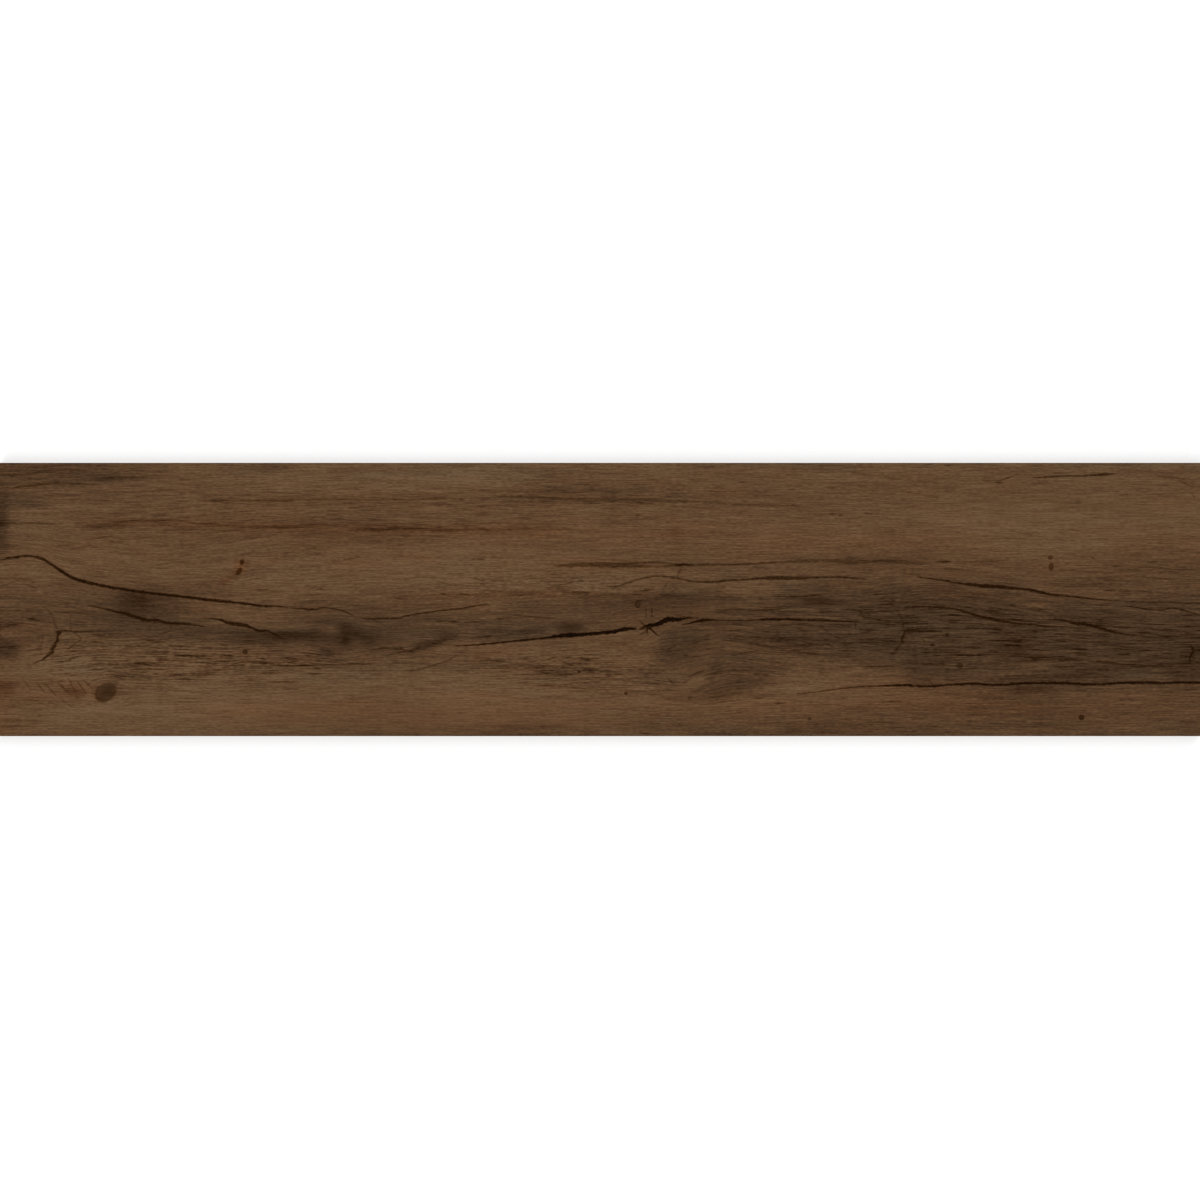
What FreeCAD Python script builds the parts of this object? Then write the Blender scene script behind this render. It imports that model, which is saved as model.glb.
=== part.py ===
"""Wood look porcelain plank tile: one pressed and fired slab with a ground edge and a keyed back.

The plank lies face up. The origin is at the middle of its back, +X runs along the plank,
+Y across it and +Z up out of the printed face. Lengths are in millimetres, angles in degrees.
"""

import FreeCAD, Part
import os

import Sketcher

# Driving dimensions. The back is keyed for mortar by a grid of shallow wells between ribs.
SIZES = [
    ("tile_length", 880.0, "along the grain of the print"),
    ("tile_width", 200.0, "across the grain"),
    ("tile_thickness", 9.5, "from the ribs of the back to the printed face"),
    ("edge_bevel", 0.5, "micro-bevel that is ground round the printed face"),
    ("back_border", 9.5, "least width of the plain band round the back"),
    ("well_length", 44.0, "one well, along the plank, at its mouth"),
    ("well_width", 42.0, "one well, across the plank, at its mouth"),
    ("well_depth", 0.7, "from the ribs to the floor of a well"),
    ("well_corner", 4.0, "corner radius of a well at its mouth"),
    ("well_draft", 40.0, "lean of a well's walls, so that the press punch lifts out"),
    ("rib_width", 4.0, "rib between two wells"),
]
SHEET = "Dimensions"
NODE = "plank_tile"

# Sketcher's numbering of the origin, and of the points of a line or an arc
ORIGIN = -1
START, END = 1, 2

# The corners of a rectangle in turn, as signs of X and Y, and the four lines that join them
CORNERS = [(-1, -1), (1, -1), (1, 1), (-1, 1)]
LOW_LINE, RIGHT_LINE, HIGH_LINE, LEFT_LINE = range(4)


def cell(alias):
    return f"{SHEET}.{alias}"


TILE_SIDE = {"x": cell("tile_length"), "y": cell("tile_width")}
WELL_SIDE = {"x": cell("well_length"), "y": cell("well_width")}


def well_pitch(axis):
    """From one well to the next, as an expression."""
    return f"({WELL_SIDE[axis]} + {cell('rib_width')})"


def well_count(axis):
    """As many whole wells as fit between the plain bands, as an expression."""
    room = f"{TILE_SIDE[axis]} - 2 * {cell('back_border')} + {cell('rib_width')}"
    return f"max(1; floor(({room}) / {well_pitch(axis)}))"


def well_run(axis):
    """From the middle of the first well to the middle of the last one, as an expression."""
    return f"({well_count(axis)} - 1) * {well_pitch(axis)}"


def well_reach(axis):
    """From the middle of the back to the outer side of the first well, as an expression."""
    return f"({well_run(axis)} + {WELL_SIDE[axis]}) / 2"


def make_sheet(doc):
    sheet = doc.addObject("Spreadsheet::Sheet", SHEET)
    for row, (alias, value, meaning) in enumerate(SIZES, start=1):
        sheet.set(f"A{row}", alias)
        sheet.set(f"B{row}", str(value))
        sheet.set(f"C{row}", meaning)
        sheet.setAlias(f"B{row}", alias)
    doc.recompute()
    return sheet


def origin_feature(body, role):
    return next(feature for feature in body.Origin.OriginFeatures if feature.Role == role)


def new_sketch(body, name):
    """An empty sketch on the plane of the back."""
    sketch = body.newObject("Sketcher::SketchObject", name)
    sketch.AttachmentSupport = [(origin_feature(body, "XY_Plane"), "")]
    sketch.MapMode = "FlatFace"
    return sketch


def corner_points(centre, length, width):
    return [centre + FreeCAD.Vector(x * length / 2, y * width / 2, 0) for x, y in CORNERS]


def draw_sides(sketch, corners, radius):
    """The four sides of a rectangle, each stopping short of its corners by the radius."""
    for i, corner in enumerate(corners):
        after = corners[(i + 1) % 4]
        trim = (after - corner).normalize() * radius
        sketch.addGeometry(Part.LineSegment(corner + trim, after - trim))
    for line in (LOW_LINE, HIGH_LINE):
        sketch.addConstraint(Sketcher.Constraint("Horizontal", line))
    for line in (RIGHT_LINE, LEFT_LINE):
        sketch.addConstraint(Sketcher.Constraint("Vertical", line))


def draw_round_corners(sketch, corners, radius):
    """The arcs that join the sides of a rectangle, all of one radius. Returns the first arc."""
    first = LEFT_LINE + 1
    for i in range(4):
        before, corner, after = corners[i], corners[(i + 1) % 4], corners[(i + 2) % 4]
        start = corner + (before - corner).normalize() * radius
        end = corner + (after - corner).normalize() * radius
        hub = start + end - corner
        middle = hub + (corner - hub).normalize() * radius
        arc = sketch.addGeometry(Part.Arc(start, middle, end))
        sketch.addConstraint(Sketcher.Constraint("Tangent", i, END, arc, START))
    for i in range(4):
        sketch.addConstraint(Sketcher.Constraint("Tangent", first + i, END, (i + 1) % 4, START))
        if i:
            sketch.addConstraint(Sketcher.Constraint("Equal", first, first + i))
    return first


def drive(sketch, name, expression, *constraint):
    """Adds a constraint that takes its size from the spreadsheet."""
    index = sketch.addConstraint(Sketcher.Constraint(*constraint))
    sketch.renameConstraint(index, name)
    sketch.setExpression(f"Constraints.{name}", expression)


def draw_face_outline(sketch, sizes):
    """The plank's outline, a rectangle about the origin."""
    length, width = sizes["tile_length"], sizes["tile_width"]
    draw_sides(sketch, corner_points(FreeCAD.Vector(), length, width), radius=0)
    for i in range(4):
        sketch.addConstraint(Sketcher.Constraint("Coincident", i, END, (i + 1) % 4, START))
    opposite = (LOW_LINE, START, HIGH_LINE, START, ORIGIN, START)
    sketch.addConstraint(Sketcher.Constraint("Symmetric", *opposite))
    drive(sketch, "length", TILE_SIDE["x"], "DistanceX", LOW_LINE, START, LOW_LINE, END, length)
    drive(sketch, "width", TILE_SIDE["y"], "DistanceY", RIGHT_LINE, START, RIGHT_LINE, END, width)


def draw_well_mouth(sketch, sizes):
    """The mouth of the first well, a rectangle with round corners at low X and low Y."""
    length, width, radius = (sizes[f"well_{side}"] for side in ("length", "width", "corner"))
    centre = FreeCAD.Vector(-sizes["tile_length"], -sizes["tile_width"], 0) / 4
    corners = corner_points(centre, length, width)
    draw_sides(sketch, corners, radius)
    arc = draw_round_corners(sketch, corners, radius)
    low = corners[0]
    drive(sketch, "corner", cell("well_corner"), "Radius", arc, radius)
    drive(sketch, "length", WELL_SIDE["x"],
          "DistanceX", LEFT_LINE, START, RIGHT_LINE, START, length)
    drive(sketch, "width", WELL_SIDE["y"],
          "DistanceY", LOW_LINE, START, HIGH_LINE, START, width)
    drive(sketch, "reach_x", well_reach("x"), "DistanceX", LEFT_LINE, START, ORIGIN, START, -low.x)
    drive(sketch, "reach_y", well_reach("y"), "DistanceY", LOW_LINE, START, ORIGIN, START, -low.y)


def add_slab(body, sizes):
    """The pressed slab, its edges ground square and its top arris bevelled."""
    outline = new_sketch(body, "FaceOutline")
    draw_face_outline(outline, sizes)
    slab = body.newObject("PartDesign::Pad", "Slab")
    slab.Profile = outline
    slab.setExpression("Length", cell("tile_thickness"))
    body.Document.recompute()
    numbered = enumerate(slab.Shape.Faces, start=1)
    top_number, _ = max(numbered, key=lambda item: item[1].CenterOfMass.z)
    bevel = body.newObject("PartDesign::Chamfer", "EdgeBevel")
    bevel.Base = (slab, [f"Face{top_number}"])
    bevel.setExpression("Size", cell("edge_bevel"))
    body.Document.recompute()


def add_keyed_back(body, sizes):
    """One drafted well, repeated along and across the back. Returns the volume that they take."""
    plain_volume = body.Tip.Shape.Volume
    mouth = new_sketch(body, "WellMouth")
    draw_well_mouth(mouth, sizes)
    well = body.newObject("PartDesign::Pocket", "Well")
    well.Profile = mouth
    well.Reversed = True  # up into the slab
    well.setExpression("Length", cell("well_depth"))
    well.setExpression("TaperAngle", f"-{cell('well_draft')}")  # narrower towards its floor
    body.Document.recompute()
    grid = body.newObject("PartDesign::LinearPattern", "KeyedBack")
    grid.Originals = [well]
    grid.Refine = False  # the wells stand apart, so no faces merge
    grid.Direction = (origin_feature(body, "X_Axis"), [""])
    grid.Direction2 = (origin_feature(body, "Y_Axis"), [""])
    grid.setExpression("Occurrences", well_count("x"))
    grid.setExpression("Occurrences2", well_count("y"))
    grid.setExpression("Length", well_run("x"))
    grid.setExpression("Length2", well_run("y"))
    body.Tip = grid
    body.Document.recompute()
    return plain_volume - grid.Shape.Volume


def check(doc, body, wells_volume):
    for item in doc.Objects:
        faults = {"Invalid", "Error"} & set(item.State)
        if faults:
            raise RuntimeError(f"{item.Name} failed: {sorted(faults)}")
    shape = body.Shape
    if shape.isNull() or not shape.isValid() or len(shape.Solids) != 1:
        raise RuntimeError(f"{body.Label} is not one valid solid")
    if wells_volume <= 0:
        raise RuntimeError("the wells took nothing off the back")


def main():
    doc = FreeCAD.newDocument("PlankTile")
    sheet = make_sheet(doc)
    sizes = {alias: float(sheet.get(alias)) for alias, _, _ in SIZES}
    body = doc.addObject("PartDesign::Body", "PlankTile")
    body.Label = NODE
    add_slab(body, sizes)
    wells_volume = add_keyed_back(body, sizes)
    check(doc, body, wells_volume)
    os.makedirs("parts", exist_ok=True)
    body.Shape.exportStep(f"parts/{body.Label}.step")
    box = body.Shape.BoundBox
    print(f"{body.Label}: {box.XLength:.2f} x {box.YLength:.2f} x {box.ZLength:.2f} mm,",
          f"{len(body.Shape.Faces)} faces, {body.Shape.Volume:.0f} mm3,",
          f"wells {wells_volume:.0f} mm3")


main()
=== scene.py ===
"""Looks of the wood look porcelain plank tile: a printed and lightly carved face on a fired slab.

The print is drawn from listed marks. Its lines, spots and stains are placed in pixels of the 1200 x 1200
photograph, in which the plank spans the whole width, and on_photo() gives the pixel of a place on
the face. Everything else is in metres, in the frame of the CAD model.
"""

import math

import bpy
import numpy as np
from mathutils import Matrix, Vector
from mathutils.geometry import delaunay_2d_cdt


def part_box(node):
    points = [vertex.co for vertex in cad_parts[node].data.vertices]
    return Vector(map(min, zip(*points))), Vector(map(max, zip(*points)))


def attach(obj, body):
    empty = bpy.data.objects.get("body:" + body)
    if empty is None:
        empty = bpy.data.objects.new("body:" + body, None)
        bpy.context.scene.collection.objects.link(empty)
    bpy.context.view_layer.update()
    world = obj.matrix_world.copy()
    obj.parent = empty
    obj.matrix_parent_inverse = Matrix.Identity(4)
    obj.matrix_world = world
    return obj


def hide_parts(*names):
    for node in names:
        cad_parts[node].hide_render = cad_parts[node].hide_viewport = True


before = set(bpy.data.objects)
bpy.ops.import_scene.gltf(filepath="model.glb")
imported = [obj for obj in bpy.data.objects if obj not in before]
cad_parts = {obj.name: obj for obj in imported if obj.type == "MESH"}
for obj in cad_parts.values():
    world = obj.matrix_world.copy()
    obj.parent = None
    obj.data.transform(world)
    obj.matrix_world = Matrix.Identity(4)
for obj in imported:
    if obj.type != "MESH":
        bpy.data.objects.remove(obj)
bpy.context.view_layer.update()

NODE = "plank_tile"
LOW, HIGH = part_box(NODE)
LENGTH, WIDTH, TOP = HIGH.x - LOW.x, HIGH.y - LOW.y, HIGH.z
MM = 0.001
CORNERS = [(1, 1), (-1, 1), (-1, -1), (1, -1)]  # of a rectangle, anticlockwise

# The slab's bevel, half its flat face, and the wells of its keyed back, as in the solid
BEVEL = 0.5 * MM
FACE_X, FACE_Y = LENGTH / 2 - BEVEL, WIDTH / 2 - BEVEL
WELL_LENGTH, WELL_WIDTH = 44 * MM, 42 * MM
WELL_DEPTH, WELL_CORNER = 0.7 * MM, 4 * MM
WELL_DRAFT = math.radians(40)
RIB = 4 * MM
WELLS_ALONG, WELLS_ACROSS = 18, 4
PITCH_ALONG, PITCH_ACROSS = WELL_LENGTH + RIB, WELL_WIDTH + RIB

# The photograph: its frame and the plank's middle in pixels, and the size of a pixel on the face.
# The bevelled ends lie just outside the frame.
FRAME_PX = 1200
MIDDLE_PX = (600.0, 599.5)
PX = (LENGTH - 4 * BEVEL) / FRAME_PX

# How the lines and stains are drawn, in the photograph's pixels
LINE_STEP = 1.6  # from one point of a line to the next
LINE_EDGE = 0.6  # half the soft edge of a line
LINE_SWAY, LINE_SWELL = 0.12, 0.22  # how much a torn edge wanders, against its width
SWAY_WIDTH = 2.0  # a wider line wanders no more than this one
LINE_MARGIN = 6.0  # how far round a line the places near it are sought
STROKE_TIP = 0.35  # width of a short mark's ends, against its middle
SPOT_RINGS = (0.88, 1.0, 1.12)  # rings of mesh points in and round a spot, against its half size
SPOT_CALM = 0.8  # how much of the grain a spot hides
STAIN_STEP = 4.0  # from one point of a stain's middle line to the next
STAIN_FALL = 2.2  # how squarely a stain fades
STAIN_END = 20.0  # how far it takes to come in at its ends
PATCH_FALL = 3.2  # how squarely a small patch fades
SEED = 7

# How deep the face is carved
LEAST_CARVE, CARVE_PER_WIDTH, SPOT_CARVE = 0.10 * MM, 0.09 * MM, 0.25 * MM
RIDGE = 0.05 * MM  # the soft ridges of the grain
RIDGES = [(0.6, 130.0, 6.0), (0.4, 60.0, 3.0)]  # their share, and their length and width in pixels
RIDGE_TABLE = 64  # cells of their noise each way before it repeats

# The mesh of the face: spaces of its grid, and its points beside the lines, in pixels
GRID_ALONG, GRID_ACROSS = 220, 220
LEAST_FLOOR = 0.25  # half the width from which a line's floor has points of its own
CLEAR = 0.6  # from a line's lip, or from the edge, to the next points
SPOT_SIDES = 18
MERGE = 0.05 * MM  # points closer than this become one
SHARP = math.radians(32)  # an edge that turns by more than this is sharp

# The mesh of the wells
WELL_CORNER_SIDES = 6
WELL_SOFT = 0.15 * MM  # how far the wall is rounded at its mouth and foot

# The texture map: its side, margin, rows and columns in texels, and texels to a millimetre
MAP_SIZE, MAP_MARGIN = 1024, 8
FACE_RIGHT_ROW, BACK_ROW = 420, 826
SIDE_COLUMNS = {"side_low": 900, "side_high": 924, "end_left": 948, "end_right": 972}
FACE_TEXELS, BACK_TEXELS, EDGE_TEXELS, SIDE_TEXELS = 2.0, 0.98, 1.1, 1.5
FACE_PATCHES = ("face_left", "face_right")

# Tones in levels from 0, black, to 100, and the wood's colours by tone from 0 to 1, as sRGB levels
TONE_LEVELS = 100
BASE_TONE = 76.5
WOOD = [
    (0.06, (8, 3, 0)), (0.27, (38, 21, 5)), (0.39, (54, 36.2, 20.4)), (0.51, (68, 47.9, 31.4)),
    (0.63, (82, 59.1, 39.4)), (0.75, (96, 70.1, 47.2)), (0.93, (113, 86.8, 61.8)),
]
CAST_TINT = (0.012, -0.016, -0.034)  # what one level of cast does to red, green and blue
INK_TINT = (0.12, -0.05, -0.5)  # what full ink does to them, where it isn't black
BLACK, PALE = 0.08, 0.3  # the tone of full ink, and how much lighter a full pale mark is
TEAR = 0.8  # how much the fine grain breaks up the ink

# The grain between the drawn marks: cells to a metre along and across, and its share of the tone
GRAIN = {"fine": ((250, 1250), 0.35), "hair": ((45, 1250), 0.36), "streak": ((15, 227), 0.18)}
CLOUD, CLOUD_SHARE = (7, 40), 0.08
REED, REED_SHARE = (26, 520), 0.6  # the thicker streaks of the dark area
DASH, DASH_RANGE = (64, 1000), (0.56, 0.74)  # and the levels of noise between which a dash comes in
LEAST_DASH, MORE_DASH = 0.06, 0.3  # a dash's share everywhere, and what DASHES adds to it
BLUSH = (25, 160)
DASH_CAST, CLOUD_CAST, BLUSH_CAST = 12.0, 4.0, 3.6  # how reddish the noise is

# The fired body: its colours as sRGB levels, and cells to a metre and detail of its noise
BODY = [(0.2, (112, 94, 78)), (0.5, (132, 113, 95)), (0.8, (150, 131, 112))]
BODY_SPECK, BODY_PATCH = (900.0, 2.0), (18.0, 3.0)
SPECK_SHARE = 0.7  # of the specks against the patches

# The finish: least roughness and what noise adds to it, gloss, and bump
FACE_ROUGH, BODY_ROUGH = (0.5, 0.2), (0.65, 0.2)
FACE_GLOSS, BODY_GLOSS = 0.02, 0.3
BUMP_STRENGTH, BUMP_HEIGHT = 0.4, 0.1 * MM

# The stage
FLOOR_REACH, FLOOR_DROP = 30.0, 0.2 * MM
FLOOR_GREY, FLOOR_GLOW = 0.5, 0.55
WHITE, WORLD_LEVEL = (1, 1, 1, 1), 0.5
LAMPS = {  # azimuth, elevation, strength, spread in degrees
    "key": (-35, 50, 1.1, 40), "fill": (145, 50, 0.9, 40),
}
LENS, SENSOR = 100.0, 36.0

# Dark lines: (x, y, width) along each, in photo pixels; ink 1 is black
LINES = {
    "left_split_start": (0.7, [
        (4, 559.6, 0.8), (9, 558, 2), (28, 556, 2.4), (41, 558.5, 2.7), (51, 564, 2.8), (61, 571, 2.8),
        (72, 577.5, 2.6)]),
    "left_split": (0.8, [
        (51, 564, 1.2), (61, 571, 2.4), (72, 577.5, 2.9), (90, 583, 3), (115, 588, 2.8), (150, 593, 2.6),
        (185, 597, 2.7), (215, 600.5, 2.7), (240, 603, 2.4), (262, 606, 2), (278, 606, 1.2),
        (286, 607.5, 0.8)]),
    "left_check": (0.67, [
        (91, 606, 0.9), (105, 609, 1.6), (118, 612, 2.5), (128, 614.5, 3), (138, 617.5, 3.5),
        (146, 620, 3.4), (158, 620.5, 3), (168, 623, 2.7), (188, 624, 2), (204, 626.5, 0.8)]),
    "left_check_end": (0.72, [
        (207, 618.5, 0.8), (213, 618.5, 1.6), (222, 620.5, 2.6), (230, 623, 3.5), (245, 625.3, 3.2),
        (252, 628, 2.4), (260, 631, 2.4), (267, 630.5, 2), (272, 633, 1.6), (278, 636, 0.8)]),
    "left_fork_arm": (0.62, [
        (57, 632, 1.9), (64, 630.8, 1.8), (71, 631, 1.7), (78, 631.5, 1.3), (94, 631.3, 0.8)]),
    "left_fork_stem": (0.66, [
        (61, 631.2, 2.4), (58.8, 633.6, 3.6), (57.2, 637, 2), (57.6, 640, 3.2), (55.4, 642.8, 2.4),
        (54.8, 646, 3.6), (52.4, 648.4, 2.6), (52.4, 652, 3.4), (49, 654.6, 2), (46, 656.8, 2.9),
        (41.5, 660.4, 1.2), (35, 662.8, 0.7)]),
    "left_fork_spur": (0.44, [(56, 643.5, 1), (51.6, 646.6, 1.5), (50, 650.5, 1.1), (49, 652.5, 0.7)]),
    "seed_knot_rim": (0.46, [
        (98, 687.5, 0.7), (95.8, 692.5, 1.1), (97, 698, 1.3), (101.5, 701, 1.4), (107.5, 700, 1.1),
        (112.5, 695.5, 0.9), (116, 690, 0.7)]),
    "left_fork_tail": (0.3, [(45, 607, 0.8), (52, 615, 1), (54, 622, 1), (58, 630, 1.1)]),
    "left_fork_tick": (0.26, [(70, 615, 0.8), (70.5, 622, 1), (71, 630, 0.9)]),
    "left_fork_hook": (0.36, [
        (72, 631.3, 1.2), (76, 633.5, 1.6), (79.5, 637, 1.2), (80.5, 640, 1.2), (77, 643, 1),
        (72, 646, 1.2), (69, 649, 0.7)]),
    "dotted_curve": (0.2, [(0, 587, 0.7), (10, 583, 0.9), (28, 578, 0.9), (34, 585, 0.8)]),
    "drift_line": (0.68, [
        (291, 608, 0.7), (302, 608.6, 1.6), (314, 609.3, 1.6), (325, 607.6, 1.2), (335, 609.2, 1),
        (343, 611, 1.4), (352, 614.5, 0.7)]),
    "drift_line_end": (0.7, [
        (362, 618, 0.6), (371, 619, 1.5), (388, 618.2, 1.7), (398, 618, 1.4), (405, 616.3, 1.5),
        (420, 613.5, 1.4), (440, 610.6, 1.4), (460, 608.6, 1.2), (470, 607, 1.2), (486, 604, 0.7)]),
    "drift_branch": (0.3, [(373, 620, 0.9), (380, 623, 0.9), (385, 626, 0.6)]),
    "heart_split_start": (0.86, [
        (458, 645.7, 0.7), (474, 645, 1.3), (490, 643.5, 1.8), (510, 641.5, 1.7), (530, 639.5, 1.8),
        (550, 637.5, 1.8)]),
    "heart_split": (1, [
        (538, 638.7, 0.7), (547, 637.8, 1.8), (556, 636.5, 3), (568, 635.2, 4), (580, 634.7, 3.8),
        (592, 633.5, 3.2), (604, 632.6, 3.2), (614, 631.6, 3.4), (622, 629.8, 3.4), (631, 628.6, 2.8),
        (636, 628.7, 1.2)]),
    "heart_break_start": (0.66, [(638.6, 629.4, 0.8), (642, 628.3, 2.3), (646, 626.8, 3), (650, 626, 1.2)]),
    "heart_break": (1, [
        (646, 626.4, 2.2), (649, 625.4, 3.6), (654, 625, 3.4), (659, 623.6, 4), (664, 621, 4.6),
        (668, 619.2, 4.6), (676, 619.5, 4), (681, 619.2, 2.8), (686, 618.2, 1.4), (697, 618, 0.6)]),
    "speck_b_ring": (0.5, [
        (639.4, 600.6, 0.8), (636.6, 601.4, 1.2), (635.3, 604.2, 1.4), (636.8, 607, 1.3),
        (639.4, 606.6, 1.2), (640.1, 603.4, 0.8)]),
    "star_ray_low": (0.9, [(649, 628, 2), (653, 631, 1.5), (658, 635.5, 0.8)]),
    "star_ray_left": (0.46, [(648, 628, 1.8), (645, 631.4, 1.4), (641, 634.5, 0.7)]),
    "star_ray_down": (0.86, [(647.3, 626, 2.4), (647.2, 630, 1.8), (647, 632.5, 0.7)]),
    "star_ray_up": (0.56, [(647, 627, 1.8), (643, 624, 1.3), (639.6, 621, 0.8)]),
    "heart_tail": (0.84, [
        (683, 624.5, 0.8), (692, 622.8, 1.6), (698, 621, 2.4), (706, 620, 3), (712, 620, 1.8),
        (720, 620.2, 0.9), (740, 620.5, 0.9), (757, 620.3, 1), (763, 619.5, 2), (780, 619.3, 2.2),
        (800, 619.7, 2.1), (818, 620.4, 1.6), (838, 621.3, 1.1), (856, 621.2, 0.7)]),
    "smear_edge": (0.14, [(412, 649, 1), (425, 647, 2.6), (440, 642, 3), (456, 636, 1.2)]),
    "smear_lead": (0.38, [(371, 649.6, 0.7), (384, 648.6, 1.7), (399, 648.2, 1.8), (405, 647.2, 0.8)]),
    "smear_lead_low": (0.36, [(386, 656, 0.7), (398, 652.6, 1.6), (410, 650.5, 2), (420, 647.5, 1.2)]),
    "low_slant": (0.36, [
        (410, 671.3, 0.7), (424, 668, 1.2), (438, 664, 1.4), (447, 661, 1.2), (455, 656.5, 0.6)]),
    "low_left_line": (0.34, [
        (232, 664.5, 0.8), (245, 661.5, 1.4), (262, 663, 1.5), (280, 665.4, 1.6), (300, 665.6, 1.9),
        (315, 665, 1.4), (345, 665, 1), (372, 663, 0.8)]),
    "low_left_slant": (0.24, [
        (198, 677, 1.6), (210, 674, 2.4), (221, 668.8, 2.6), (232, 666, 2.2), (246, 664, 1.2)]),
    "upper_vein": (0.4, [
        (554, 566.3, 0.8), (566, 565.4, 3.2), (588, 564.8, 4.2), (600, 565.2, 4.2), (615, 565.8, 3.2),
        (632, 566.2, 3), (650, 566.8, 1.8), (665, 566.3, 1.6), (675, 565, 2.4), (692, 565, 2.4),
        (712, 564.7, 2.2), (735, 564.3, 2), (760, 563.2, 1.8), (776, 562.2, 1.6), (792, 561.4, 0.8)]),
    "upper_vein_knot": (0.74, [
        (673, 565.4, 0.8), (677, 564.9, 2.4), (684, 564.6, 2.9), (688, 564.8, 2.2), (692, 565, 0.9)]),
    "upper_vein_end": (0.27, [
        (780, 562, 1), (800, 561.2, 2.6), (825, 560.8, 3), (850, 561.6, 4.6), (866, 561.4, 3.4),
        (884, 560.8, 2.6), (900, 562, 4), (914, 562.6, 3.2), (928, 563.6, 1)]),
    "upper_vein_twin": (0.38, [
        (596, 563.2, 1.6), (625, 563.6, 1.8), (646, 562.4, 1.7), (660, 562.4, 1.5), (674, 563.8, 0.9)]),
    "upper_check": (0.51, [
        (610, 586.6, 0.9), (616, 586.8, 1.5), (630, 582, 1.6), (640, 579, 1.7), (654, 576.5, 1.6),
        (662, 576.2, 1.6), (678, 578.5, 1.7), (692, 581.2, 1.7), (702, 582, 0.9)]),
    "upper_check_end": (0.62, [
        (692, 581.2, 0.9), (704, 582, 1.7), (720, 581.5, 2), (727, 580.4, 1.7), (746, 579.6, 1.8),
        (760, 578.5, 2.4), (776, 578, 3.6), (798, 578.2, 3.4), (806, 578, 2.6), (813, 577.3, 1.7),
        (840, 577, 1.6), (852, 578, 1.5), (863, 579, 0.7)]),
    "right_split": (0.73, [
        (918, 576.8, 0.8), (930, 578.6, 1.3), (946, 580.6, 1.5), (954, 582.6, 1.6), (970, 584.4, 2.5),
        (984, 586, 3.2), (1000, 586.8, 3.2), (1010, 588, 2.6), (1028, 589.5, 2.3), (1042, 592.5, 2.3),
        (1050, 594.5, 2), (1068, 596, 1.7), (1088, 598.5, 1.5), (1112, 600.5, 0.8)]),
    "right_split_tail": (0.44, [
        (1104, 600, 1.1), (1130, 601.4, 1.1), (1165, 602.4, 1), (1200, 603.6, 0.9)]),
    "right_drift_line": (0.62, [
        (1126, 606, 0.7), (1142, 608.5, 1.5), (1160, 610, 1.6), (1168, 608.4, 1.5), (1176, 608.4, 1.5),
        (1186, 611, 1.5), (1195, 613.5, 0.9)]),
    "right_check": (0.68, [
        (914, 606.5, 0.7), (938, 607.5, 1.2), (955, 609, 1.5), (968, 613, 2), (985, 617.5, 2.8),
        (1000, 620.7, 2.8), (1016, 623.5, 2), (1034, 624.5, 1.8), (1041, 626, 1.4), (1053, 627, 0.7)]),
    "right_check_end": (0.66, [
        (1054, 618.8, 0.8), (1066, 621, 1.6), (1075, 623.6, 2.6), (1085, 624.3, 3.2), (1098, 627.5, 2.6),
        (1108, 630.5, 2.4), (1118, 633, 1.8), (1130, 635, 1), (1142, 634.6, 0.6)]),
    "right_fork_arm": (0.58, [(904, 631.3, 1.4), (912, 631, 1.5), (926, 631.6, 1.4), (941, 631.6, 0.7)]),
    "right_fork_tail": (0.3, [(899, 613, 0.7), (902.5, 621, 1.1), (903.5, 627, 1.2), (905, 632, 1)]),
    "right_fork_root": (0.19, [(902, 643.5, 1.4), (898, 647.5, 2.6), (893.5, 652.5, 2.4), (889, 657, 1)]),
    "right_fork_tick": (0.24, [(916.5, 617, 0.7), (917, 624, 1), (917.6, 631, 1)]),
    "right_fork_stem": (0.55, [(905, 632, 1.5), (903, 636, 2.4), (902, 640, 2.2), (903, 643.5, 1)]),
    "end_fork_arm": (0.66, [(1192, 650, 1.2), (1196, 650.2, 1.6), (1200, 650.6, 1.7)]),
    "end_fork_stem": (0.58, [
        (1191, 646, 1.2), (1193.5, 650.5, 2.6), (1190.5, 656, 2.2), (1189.5, 662, 0.7)]),
    "low_split_start": (0.64, [
        (798, 693.6, 0.6), (820, 691.5, 1), (838, 689, 1.2), (858, 687, 1.3), (878, 686, 1.4),
        (886, 685.7, 0.8)]),
    "low_split": (0.85, [
        (872, 686.3, 0.7), (890, 685.5, 2.2), (906, 685.2, 2.4), (916, 686, 1.8), (936, 686.1, 2.2),
        (946, 685, 1.7), (960, 684.3, 2.3), (976, 683.6, 2.3), (986, 684.6, 2.2), (1004, 684.8, 2.2),
        (1028, 683.2, 2.4), (1060, 683, 2.4), (1084, 684.2, 2.2), (1102, 684.2, 2), (1118, 683, 2.2),
        (1150, 682.5, 2.5), (1163, 683, 2), (1180, 682.4, 2.4), (1200, 683, 2)]),
    "top_check": (0.6, [
        (1034, 477.6, 0.8), (1050, 476.8, 1.7), (1065, 476, 1.3), (1078, 476, 1.3), (1092, 475.2, 2),
        (1104, 474.5, 2.8), (1114, 473.8, 0.7)]),
    "top_vein": (0.2, [
        (200, 500.8, 1.2), (222, 501.2, 2), (262, 500.8, 2), (300, 499.4, 1.8), (376, 499.6, 1.4),
        (440, 499, 1.6), (500, 497, 1.8), (530, 496.8, 3), (572, 499, 3.2), (612, 499.6, 3.4),
        (650, 500.4, 2.8), (690, 501.6, 2), (718, 502.5, 2.4), (742, 504.6, 2.6), (776, 505.6, 2),
        (800, 506, 1)]),
    "olive_vein": (0.2, [
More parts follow.
